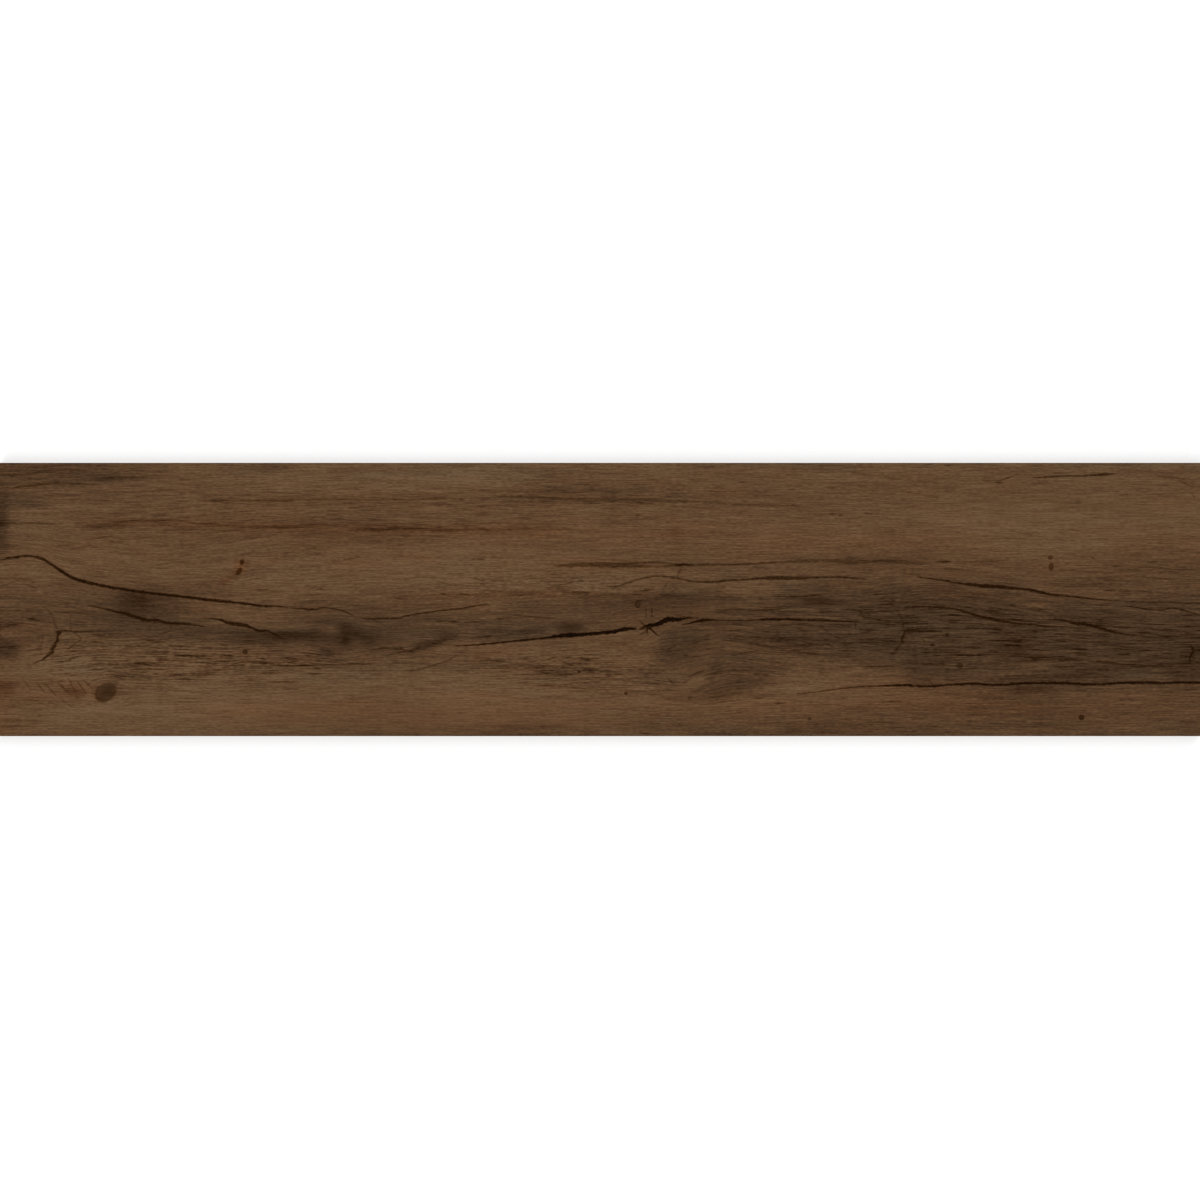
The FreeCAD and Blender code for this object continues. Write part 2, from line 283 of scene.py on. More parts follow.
        (354, 530.4, 1.2), (368, 529.6, 3), (400, 529.2, 3.4), (426, 529, 2.6), (452, 531, 2.4),
        (470, 529.4, 2), (490, 529.6, 1.8), (533, 529, 1.6), (566, 529.8, 1.8), (580, 530, 0.8)]),
    "reddish_vein": (0.18, [
        (82, 526, 1.4), (104, 525.5, 3.4), (124, 522.5, 3.2), (150, 520.8, 2.6), (176, 520, 1.8),
        (200, 524, 1.6), (240, 526.6, 1.8), (266, 527, 3.2), (292, 527, 3.4), (312, 525.6, 3),
        (340, 524, 1.2)]),
    "dark_vein": (0.46, [
        (844, 609.6, 0.8), (850, 609.4, 1.4), (862, 611.4, 1.5), (870, 612, 1.5), (882, 611, 1.4),
        (896, 610.5, 0.9)]),
}

# Short marks, thickest at their middles: (x, y, run, width, percent of ink, fall), in photo pixels.
# A pale one has ink below 0, and a level one leaves out its fall.
STROKES = {
    "upper_left": [
        (0, 475, 30, 2.5, 25, -1), (13, 487.5, 46, 3, 36, -5), (88, 479, 52, 1.6, 20),
        (76, 484, 24, 1.6, 34, 1), (24, 501, 12, 1.4, 30), (20, 523, 42, 1.6, 34, 1),
        (112, 522.5, 22, 2, 36, -2), (134, 520.5, 42, 1.8, 26), (84, 540, 28, 1.4, 30, -4),
        (150, 566, 40, 1.2, 18, -6), (204, 500.5, 28, 1.6, 36), (242, 500, 50, 1.6, 40, 1),
        (304, 499.5, 26, 1.4, 34), (344, 499, 32, 1.2, 26, 1), (200, 524, 18, 2, 28),
        (262, 527, 31, 2.6, 34, 1), (300, 526, 14, 2.6, 24, -1), (356, 530, 44, 3, 32, -1),
        (306, 548, 14, 1.3, 30), (344, 559.5, 10, 1.4, 32, -1), (352, 559, 8, 1.4, 30, -3),
        (258, 590, 10, 1.4, 40), (270, 591, 13, 1.2, 30), (319, 589, 4, 1.8, 45), (22, 475, 26, 3, 24, -4),
        (48, 470, 40, 2.4, 20, 1), (98, 478, 48, 3.4, 26, -1), (52, 484, 30, 1.2, 26, -1),
        (0, 522.5, 22, 2, 45, 1), (128, 521, 16, 1.5, 42, -1), (144, 520, 36, 1.2, 32),
        (108, 541.5, 14, 1.2, 26), (124, 540, 40, 1.2, 24, -4), (60, 545.5, 14, 1.3, 30, -1),
        (72, 549, 22, 1.3, 26, -4), (200, 533, 40, 1.4, 22, -3), (20, 540, 20, 1.2, 22),
        (36, 495, 44, 1.6, 20), (166, 508, 14, 1.2, 24, 1), (92, 531.5, 40, 1.5, -42, -2.5),
        (130, 529, 28, 1.4, -36, -3), (238, 543.5, 36, 1.4, -42, -6), (206, 548, 30, 1.3, -32, -3),
        (168, 552, 36, 1.2, -28, -4), (58, 506.5, 26, 2, -30), (18, 511.5, 32, 1.5, -36, -1),
        (6, 491, 28, 1.4, -34, -2), (60, 497, 30, 1.2, -24), (250, 512, 40, 1.2, -20),
        (150, 486, 44, 1.2, -24, 2)],
    "left": [
        (28, 618.6, 10, 2.4, 60, 2), (4, 627, 13, 1.8, 45, -3), (68, 660.4, 9, 2.4, 50, -4),
        (0, 610.5, 44, 1.2, 26, 0.5), (54, 612, 38, 1.6, 34), (140, 639, 20, 1.6, 50, 2),
        (160, 639.5, 12, 1.4, 40, -1), (126, 647, 10, 1.4, 40), (170, 646, 23, 1.4, 50, 1),
        (155, 656, 10, 1.4, 45, 1), (180, 655.5, 36, 1.4, 55, 1), (165, 660.5, 31, 1.3, 40),
        (130, 669, 20, 1.3, 40), (154, 674, 6, 1.6, 50), (170, 675, 10, 1.8, 45),
        (192, 675, 12, 1.4, 40, -1), (178, 679.5, 14, 1.4, 45), (170, 623, 2, 1.2, 40, 7),
        (0, 587, 10, 1.2, 32, -4), (16, 578, 14, 1.4, 26, 3), (27, 585, 10, 1.4, 30, 3),
        (22, 592, 14, 1.1, 22, -2), (22, 622, 1, 1.2, 20, -9), (38, 607, 22, 1.1, 26, -2),
        (42.5, 633, 0.5, 1.3, 26, 8), (42, 643, -2, 1.3, 22, 8), (58, 662, 13, 1.9, 46, -1.5),
        (93, 634.5, 12, 2, 38, 1.5), (100, 637, 12, 1.2, 28, 1), (86, 641.5, 15, 1.5, 34, 0.5),
        (90, 645.5, 18, 1.5, 28, 1), (148, 641, 16, 1.7, 44, 1), (161, 634, 9, 1.6, 38, -3),
        (96, 649.5, 14, 1.2, 28), (112, 651.5, 16, 1.1, 26), (132, 646.5, 16, 1.2, 30),
        (150, 647.5, 10, 1.2, 30, 1), (100, 657, 30, 1.2, 26, 1), (88, 664.3, 34, 1.4, 40),
        (122, 664.5, 42, 1.7, 50, -2), (96, 671, 20, 1.1, 24), (56, 668, 20, 1.1, 24, -1),
        (40, 672, 22, 1.1, 26, -2), (52, 675, 22, 1.1, 24, -2), (110, 676.5, 24, 1.1, 26),
        (118, 680, 30, 1.2, 30, -1), (140, 683.5, 30, 1.1, 26), (194, 676, 22, 1.6, 30, -5),
        (24, 699.5, 24, 1.5, 22, 2), (40, 703, 16, 1.3, 20, 6), (60, 699, 12, 1.4, 20, 8),
        (8, 720, 24, 1.3, 20), (2, 726, 30, 1.4, 22), (100, 653, 30, 1.4, -36, 1), (150, 651, 40, 1.4, -34),
        (170, 664, 40, 1.3, -30), (64, 671, 40, 1.4, -34), (200, 652, 26, 1.4, -30, 1),
        (110, 667, 44, 1.2, -30)],
    "fleck": [
        (25, 682, 6, 1.4, 34, 8), (37, 683, 8, 1.5, 32, 10), (44, 682.5, 13, 1.6, 32, 14),
        (57, 681.5, 12, 1.8, 32, 12.5), (46, 681.4, 15, 1.2, 24), (69, 680, 6, 1.5, 34, 12),
        (77, 681, 9, 1.5, 36, 12), (84, 681, 9, 1.4, 34, 8)],
    "low_left": [
        (371, 619, 25, 1.4, 60, -1), (220, 645, 6, 1.4, 40), (228, 658.5, 5, 1.6, 50),
        (246, 661, 22, 1.6, 50, 1), (258, 658, 7, 1.4, 45, 1), (266, 663, 14, 1.5, 40, 1),
        (214, 661.5, 10, 1.3, 40), (288, 662.5, 8, 1.6, 52, -1), (296, 665.5, 14, 2, 60),
        (312, 667, 8, 1.3, 40, 2), (311, 674, 7, 1.6, 45), (340, 664, 35, 1.3, 30, -1),
        (265, 673, 15, 1.3, 37), (247, 679, 6, 1.3, 40), (270, 682, 25, 1.4, 45), (348, 702.5, 34, 1.1, 25),
        (378, 648, 10, 1.4, 40, -1), (393, 649, 11, 1.8, 60)],
    "upper_middle": [
        (428, 498.5, 16, 1.6, 42), (459, 499.5, 5, 1.4, 42), (493, 496.5, 17, 1.6, 32, 1),
        (516, 496, 54, 2, 34, 3), (578, 501, 22, 1.6, 34), (444, 504.5, 16, 1.3, 34),
        (466, 523.5, 34, 1.2, 26), (400, 529, 26, 3, 32, -1), (436, 530, 32, 2.2, 32),
        (476, 528.5, 14, 1.6, 45, 2), (520, 529, 13, 1.4, 38), (401, 536, 11, 1.4, 40),
        (475, 559, 9, 1.4, 45), (550, 587, 30, 1.2, 26, -6.5), (571, 579, 6, 1.5, 45, -1),
        (470, 577, 14, 1.1, 34, 4), (440, 582, 10, 1.1, 34, 2.5), (440, 593, 6, 1.5, 50, 1),
        (460, 594, 10, 1.4, 42, 1), (565, 592.5, 25, 2.4, 36), (600, 498.5, 64, 1.8, 34, 1.5),
        (605, 501.5, 10, 1.6, 38), (632, 501.5, 20, 1.6, 38, 2.5), (735, 504.5, 37, 1.6, 28, 1),
        (789, 489.5, 6, 1.5, 40), (635, 515.5, 5, 1.6, 42), (641, 591, 10, 2, 52, -1.5),
        (632, 594.5, 10, 1.4, 38), (660, 595, 12, 1.6, 45), (788, 596.5, 14, 2, 52),
        (620, 502.5, 40, 1.3, 25, 2.5), (790, 505.5, 8, 2, 35), (740, 482, 6, 2, 28),
        (655, 529.5, 4, 1.6, 35), (661, 532, 2, 1.4, 14, 8), (671, 518, 2, 1.4, 14, 5),
        (740, 511.5, 8, 1.2, 30, -1), (682, 567, -5, 2.8, 22, 10), (668, 582, -5, 2, 24, 7),
        (678, 587.5, -6, 2, 28, 4.5), (721, 587, 4, 1.4, 35), (715, 591.5, 8, 1.3, 35),
        (775, 596.5, 10, 1.4, 35), (757, 598, 6, 1.4, 40)],
    "low_middle": [
        (437, 621.5, 7, 1.4, 45), (450.5, 621.6, 7, 1.9, 66), (395, 598.5, 11, 1.7, 44, 0.5),
        (465, 622.5, 20, 1.3, 45, -1), (496, 619, 14, 2, 34, -1.5), (516, 615.5, 39, 1.3, 40, 3),
        (405, 651.5, 10, 1.5, 55), (475, 637.5, 17, 1.6, 50, -1.5), (490, 661, 15, 1.6, 45),
        (526, 668, 22, 2, 38, -1), (534, 671, 26, 1.4, 38, 4), (540, 674, 35, 1.3, 34),
        (545, 660, 13, 1.4, 40, -3), (564, 657, 8, 1.3, 42, 1.5), (582, 658, 8, 1.5, 45, 3),
        (536, 685.5, 19, 1.3, 40), (562, 686.5, 22, 1.3, 40, 2), (612, 673.5, 13, 1.4, 40, 1),
        (644, 690.5, 31, 1.3, 34), (642, 733.5, 7, 2, 40)],
    "swirl": [
        (675, 615.5, 20, 1.3, 35, 2), (748, 611, 37, 2.2, 44, -2.5), (720, 610, 32, 1.5, 34),
        (724, 631, 21, 1.3, 35, -1.5), (752, 637, 13, 1.6, 46, 1), (762, 638, 38, 1.6, 30, 2.6),
        (690, 643.5, 12, 1.3, 40, -2), (666, 650, 10, 1.4, 42, -4), (790, 650.5, 9, 2, 46),
        (736, 654.5, 19, 1.8, 34, -3), (690, 676, 14, 1.8, 42, -5.5), (708, 674.5, 14, 1.5, 42, -1),
        (715, 671, 6, 1.4, 40, -2), (730, 670, 22, 1.4, 42), (690, 692, 16, 1.3, 35, -3.5),
        (700, 705, 40, 1.5, 26, -5.5), (775, 703.5, 7, 1.5, 45), (748, 723, 37, 1.3, 26),
        (716, 610.5, 12, 1.3, 35), (702, 637, 12, 1.3, 35, -3), (700, 639.5, 12, 1.2, 35),
        (725, 640.5, 10, 1.2, 35), (747, 642, 11, 1.2, 30, 1.5), (705, 649, 6, 1.3, 35),
        (683, 654, 7, 1.3, 35, 3), (600, 671, 12, 1.2, 30), (683, 683, 7, 1.3, 30, -4),
        (708, 679, 6, 1.3, 33, -2), (755, 672.5, 13, 1.3, 35, 2), (668, 678, 4, 2.4, 30, 5),
        (700, 687, 12, 1.2, 28, -2.5), (648, 694.5, 12, 1.1, 30), (688, 698, 4, 2.4, 33),
        (755, 698.5, 5, 1.6, 35), (645.5, 608, 1, 1.6, 40, 8), (651.5, 608, 0.5, 1.7, 44, 7),
        (636.6, 628.5, 3.4, 1.6, -40)],
    "right": [
        (829, 514, 8, 1.5, 34), (838, 515, 5, 2, 40), (925, 497, 14, 1.6, 32), (880, 477.5, 20, 1.3, 28, 1),
        (996, 482.5, 6, 2.6, 40), (936, 562, 15, 2.2, 58, -0.5), (962, 562, 44, 2.4, 24, -1.5),
        (945, 568, 30, 2.2, 26, 3), (906, 574, 14, 1.4, 36, 1), (803, 596, 15, 2, 54, -1),
        (800, 598.5, 30, 1.6, 35, 1), (902, 591, 16, 1.4, 33, 1), (862, 616.6, 9, 2, 48, 2),
        (873, 618.6, 9, 1.8, 50, 2), (855, 622, 0.5, 1.3, 42, 6), (942, 635.5, 7, 1.6, 42),
        (842, 645.5, 8, 1.4, 38, -1.5), (840, 650.5, 12, 1.4, 38), (872, 650.5, 12, 1.5, 44, -1),
        (864, 666.5, 26, 1.4, 50), (840, 667.5, 12, 1.2, 34), (938, 664.5, 8, 2, 40), (950, 655, 24, 2, 52),
        (942, 658, 13, 1.4, 38), (970, 664, 30, 1.3, 28), (860, 486, 6, 1.3, 33, 1),
        (825, 488, 10, 1.3, 33), (871, 490, 3, 1.5, 33, 2), (864, 513.5, 5, 1.8, 38),
        (875, 510, 4, 1.6, 36), (908, 492.5, 12, 1.3, 28, 1.5), (985, 480.5, 6, 1.4, 33),
        (945, 569, 14, 1.3, 28), (868, 594.5, 17, 1.4, 28), (955, 596, 20, 1.4, 28, 1),
        (925, 464.5, 6, 1.6, 35), (945, 465.5, 8, 1.8, 35), (813, 603.5, 13, 1.6, 33),
        (922, 638, 3, 1.4, 36, 5), (830, 635, 15, 1.4, 32, 5), (800, 640.6, 22, 1.8, 36, 5.6),
        (820, 647.6, 5, 1.6, 38, -4), (825, 643.6, 8, 1.7, 38, 3), (800, 653, 24, 2.2, 36, 1),
        (852, 660, 10, 1.3, 34), (858, 661.5, 8, 1.3, 34, 1), (936, 642, 20, 1.3, 33),
        (975, 655.5, 15, 1.4, 34, -1), (965, 648, 20, 1.3, 33), (886, 701.5, 18, 1.3, 32),
        (980, 698.5, 22, 1.8, 28), (912, 719, 14, 1.4, 33), (844, 719, 3, 2, 33),
        (868, 721.5, 28, 1.3, 24, 1.5), (928, 679, 5, 1.2, 28, 6), (870, 600, 90, 2.4, 18, 6),
        (880, 597, 110, 1.6, 18, 6), (985, 654, 60, 1.9, 34, 2), (905, 660, 34, 1.5, 26, 5)],
    "far_right": [
        (1000, 480.5, 15, 1.6, 36, -5), (1158, 476, 27, 2.4, 26, 3), (1180, 481, 10, 1.8, 32, 4.5),
        (1018, 532.5, 14, 1.4, 32, 2), (1104, 590.5, 12, 1.5, 45), (1119, 591.5, 12, 1.4, 40),
        (1149, 562, 7, 1.6, 38), (1112, 566, 7, 1.5, 38), (1013, 626, 8, 1.4, 42), (1020, 647, 12, 1.4, 38),
        (1024, 657, 36, 1.7, 48), (1058, 660.5, 20, 2, 44, -2), (1090, 661.5, 14, 1.8, 50),
        (1105, 661, 15, 1.8, 50, 3), (1130, 664.5, 16, 2.2, 46, 1.5), (1148, 666.5, 22, 2, 35),
        (1122, 635, 18, 1.4, 32), (1140, 637, 25, 1.4, 32), (1050, 473, 14, 1.3, 28),
        (1120, 495, 6, 1.4, 28), (1192, 494, 3, 1.5, 28, 4), (1070, 529.5, 6, 1.5, 33, 1),
        (1090, 556, 4, 1.4, 33, 2.5), (1065, 582, 5, 1.5, 33), (1105, 580, 15, 2.6, 25, 1),
        (1160, 572, 20, 1.3, 28), (1130, 569.5, 10, 1.3, 33), (1100, 605, 6, 1.4, 34),
        (1022, 653.5, 8, 1.4, 34), (1020, 660.5, 15, 1.3, 34), (1079, 650, 6, 1.6, 36),
        (1081, 654, 5, 1.6, 36), (1128, 699.5, 5, 1.4, 30), (1030, 661, 50, 1.7, 26, -4),
        (1090, 662, 80, 2.4, 22, 6), (1050, 640, 50, 1.8, 20, 2), (1110, 645, 40, 1.8, 20, 5),
        (1050, 668, 40, 1.6, 22, -4), (1000, 676, 80, 2.4, 16), (1100, 588, 100, 1.6, 22, 8),
        (1050, 583, 60, 1.6, 22, 4), (1110, 576, 90, 1.6, 20, 4), (1060, 570, 60, 1.4, 20, 3),
        (1130, 566, 70, 1.4, 20, 5)],
}

# Soft stains along the grain: (x, y, reach up, reach down, levels lighter), in photo pixels
STAINS = {
    "heart": [
        (-20, 612, 30, 34, -10), (40, 612, 26, 28, -11), (96, 606, 20, 30, -15), (128, 602, 18, 32, -23),
        (165, 608, 20, 30, -20), (205, 626, 14, 18, -12), (240, 634, 9, 15, -16), (280, 636, 7, 13, -22),
        (312, 636, 9, 13, -22), (345, 632, 17, 18, -22), (400, 626, 22, 24, -17), (450, 628, 24, 18, -15),
        (520, 624, 24, 18, -15), (575, 622, 22, 14, -16), (620, 614, 20, 18, -13), (660, 614, 22, 22, -16),
        (720, 616, 24, 34, -16), (790, 618, 28, 40, -20), (850, 616, 34, 50, -24), (920, 620, 36, 56, -25),
        (1000, 626, 40, 54, -26), (1060, 630, 38, 50, -27), (1130, 634, 44, 46, -25),
        (1220, 640, 48, 42, -26)],
    "left_corner": [
        (-20, 474, 24, 14, -18), (60, 474, 22, 13, -17), (120, 474, 18, 10, -13), (180, 472, 14, 9, 0)],
    "corner_haze": [(-20, 492, 14, 16, -7), (30, 492, 10, 10, -4), (90, 494, 8, 8, 0)],
    "upper_grey": [
        (60, 498, 6, 8, -1), (140, 496, 8, 10, -5), (260, 498, 6, 10, -4), (400, 500, 7, 9, -5),
        (480, 496, 8, 11, -6), (540, 494, 12, 11, -11), (620, 493, 13, 11, -10), (700, 498, 12, 10, -6),
        (800, 500, 12, 10, -4), (880, 488, 12, 12, -3), (960, 486, 10, 10, -1)],
    "top_light": [
        (150, 470, 16, 12, 0), (260, 474, 18, 14, 2), (360, 478, 16, 12, 5), (460, 478, 18, 14, 7),
        (520, 470, 14, 12, 3), (560, 468, 12, 10, 0)],
    "red_streak": [
        (60, 523, 5, 6, -1), (110, 523, 6, 7, -6), (150, 521, 6, 7, -6), (200, 524, 6, 8, -4),
        (250, 527, 7, 7, -8), (300, 526, 8, 8, -8), (390, 528, 7, 7, -10), (440, 528, 6, 7, -6),
        (520, 527, 6, 7, -4), (580, 526, 5, 6, -1)],
    "upper_light_right": [
        (900, 516, 12, 16, 2), (980, 524, 18, 20, 6), (1060, 524, 20, 20, 6), (1140, 526, 16, 14, 4),
        (1220, 526, 16, 14, 5)],
    "upper_light_middle": [
        (250, 566, 10, 12, 2), (330, 570, 12, 16, 3), (420, 562, 16, 18, 5), (500, 562, 16, 18, 5),
        (560, 572, 10, 14, 2)],
    "upper_shade_right": [
        (680, 566, 8, 16, -4), (760, 566, 10, 12, -4), (840, 560, 10, 20, -8), (900, 564, 12, 22, -8),
        (960, 566, 12, 20, -7), (1060, 568, 10, 20, -5), (1150, 566, 20, 20, -8), (1220, 566, 20, 20, -9)],
    "low_light_left": [
        (-20, 664, 9, 16, 2), (50, 664, 12, 14, 4), (110, 700, 16, 26, 4), (200, 702, 18, 24, 8),
        (280, 704, 14, 20, 5), (380, 694, 20, 18, 3), (480, 696, 18, 22, 5), (560, 706, 16, 14, 4),
        (660, 708, 10, 12, 2), (700, 710, 8, 8, 0)],
    "low_grain_shade": [
        (60, 668, 8, 10, -2), (120, 666, 14, 14, -6), (200, 664, 14, 12, -5), (300, 662, 10, 10, -8),
        (360, 656, 10, 10, -8), (420, 658, 8, 10, -5), (480, 664, 8, 10, -4), (560, 666, 10, 12, -4),
        (640, 668, 12, 14, -6), (680, 672, 14, 14, -8)],
    "band_edge": [
        (270, 603, 7, 8, 0), (310, 604, 7, 8, -7), (340, 602, 6, 8, -5), (380, 600, 5, 6, -4),
        (436, 599, 6, 7, -6), (480, 597, 4, 5, -4), (540, 596, 4, 5, -7), (600, 597, 4, 6, -7),
        (640, 600, 5, 8, -7), (700, 600, 5, 8, -6), (770, 602, 5, 8, 0)],
    "band_step": [
        (560, 594.6, 1.2, 8, 0), (600, 594.6, 1.2, 8, -8), (690, 594.8, 1.2, 8, -11),
        (735, 595.2, 1.2, 7, -8), (760, 596, 1.4, 7, 0)],
    "bottom_shade": [
        (-20, 738, 12, 10, -6), (30, 740, 10, 10, -1), (120, 740, 10, 10, 2), (240, 742, 14, 10, -2),
        (340, 742, 20, 10, -5), (460, 742, 20, 10, -8), (520, 742, 20, 10, -13), (600, 742, 18, 10, -7),
        (660, 740, 22, 10, -11), (760, 736, 22, 10, -13), (860, 734, 26, 10, -12), (940, 730, 34, 10, -11),
        (1040, 724, 34, 20, -13), (1120, 720, 30, 20, -10), (1220, 720, 30, 20, -11)],
    "swirl": [
        (640, 662, 14, 20, -3), (668, 656, 22, 26, -9), (700, 664, 28, 30, -9), (740, 668, 22, 24, -12),
        (775, 662, 16, 16, -6), (820, 656, 14, 12, -2), (850, 656, 12, 10, 0)],
    "lens": [
        (690, 691, 16, 7, 0), (715, 691, 15, 6, -7), (745, 687, 13, 5, -9), (772, 680, 11, 5, -6),
        (792, 675, 8, 4, 0)],
    "swirl_lower_light": [
        (760, 692, 8, 10, 0), (800, 688, 12, 12, 6), (840, 682, 10, 14, 8), (880, 684, 8, 14, 4),
        (920, 694, 6, 8, 0)],
    "belly_end": [
        (900, 676, 16, 12, -7), (960, 674, 18, 10, -7), (1020, 682, 12, 12, -11), (1080, 676, 12, 12, -9),
        (1150, 670, 20, 14, -8), (1220, 668, 26, 18, -13)],
    "fan_shade": [(720, 634, 5, 5, 0), (770, 638, 7, 6, -8), (810, 643, 7, 6, -9), (870, 650, 5, 6, 0)],
    "top_rim": [(-20, 463, 3, 2.2, -3), (1220, 463, 3, 2.2, -3)],
    "bottom_rim": [(-20, 736, 2.2, 3, -4), (1220, 736, 2.2, 3, -4)],
}

# Reddish (above 0) and olive (below 0) casts, drawn as the stains are
CASTS = {
    "upper_red": [
        (30, 534, 14, 14, 0), (120, 530, 18, 16, 1.2), (260, 528, 16, 14, 1.8), (420, 530, 14, 14, 1.8),
        (560, 530, 14, 16, 2), (690, 536, 16, 18, 2.2), (820, 542, 10, 12, 2.4), (940, 542, 10, 12, 1.8),
        (1040, 540, 10, 10, 0.6), (1140, 540, 12, 12, 1.8), (1220, 540, 12, 12, 1.4)],
    "upper_red_low": [
        (250, 556, 10, 14, 0.4), (330, 560, 14, 14, 1.2), (420, 556, 10, 12, 0.6), (540, 560, 10, 16, 1.2),
        (620, 562, 10, 16, 1.4), (700, 560, 10, 12, 1)],
    "heart_olive": [
        (-20, 600, 24, 24, 0.4), (60, 606, 24, 26, -1.2), (110, 606, 24, 26, -1.6),
        (240, 628, 16, 20, -0.6), (360, 634, 18, 18, -0.8), (500, 630, 12, 14, -1.4),
        (640, 618, 16, 14, 0.2), (760, 616, 20, 30, -1.4), (880, 626, 34, 40, -2),
        (1020, 634, 36, 40, -1.8), (1120, 640, 40, 36, -2), (1220, 640, 40, 36, -1.8)],
    "low_olive": [
        (60, 664, 10, 12, -1.6), (140, 690, 14, 16, -0.8), (260, 676, 12, 12, -1.6),
        (380, 672, 10, 12, -1.4), (520, 676, 8, 12, -1.4), (600, 680, 8, 10, -0.4)],
    "low_red": [
        (180, 712, 10, 12, 0.6), (280, 710, 12, 12, 2.2), (360, 712, 14, 12, 3), (430, 714, 12, 12, 2.4),
        (500, 714, 12, 12, 2), (620, 712, 10, 12, 1), (760, 706, 10, 12, 1.4), (900, 706, 12, 10, 2.4),
        (960, 706, 12, 10, 2.6), (1060, 710, 10, 10, 1.4), (1220, 710, 10, 12, 0.8)],
    "fleck_red": [(-30, 688, 8, 10, 1.6), (50, 690, 9, 10, 2.2), (90, 690, 8, 8, 2), (120, 690, 6, 6, 0)],
    "top_olive": [
        (-20, 470, 16, 10, 0.4), (120, 470, 14, 8, 0.2), (320, 474, 14, 10, -1.4), (460, 474, 14, 10, -2),
        (540, 470, 12, 8, -0.8), (700, 464, 8, 5, -1), (960, 464, 10, 6, -2), (1220, 464, 10, 6, -2.2)],
    "bottom_olive": [
        (-20, 736, 8, 4, 0.4), (300, 738, 8, 4, 0.4), (560, 738, 8, 4, 0.2), (900, 738, 8, 4, -1),
        (1220, 738, 8, 4, -1.2)],
    "vein_red": [
        (70, 524, 4, 5, 0.5), (130, 522, 4, 5, 1.6), (200, 524, 4, 5, 2), (290, 527, 4, 5, 3),
        (400, 529, 4, 5, 3.5), (470, 530, 4, 5, 2.5), (580, 530, 4, 5, 1)],
    "band_red": [
        (390, 595, 4, 5, 0), (440, 595, 4, 5, 2), (560, 594, 4, 5, 2.5), (640, 597, 4, 5, 2),
        (720, 600, 4, 5, 0)],
}

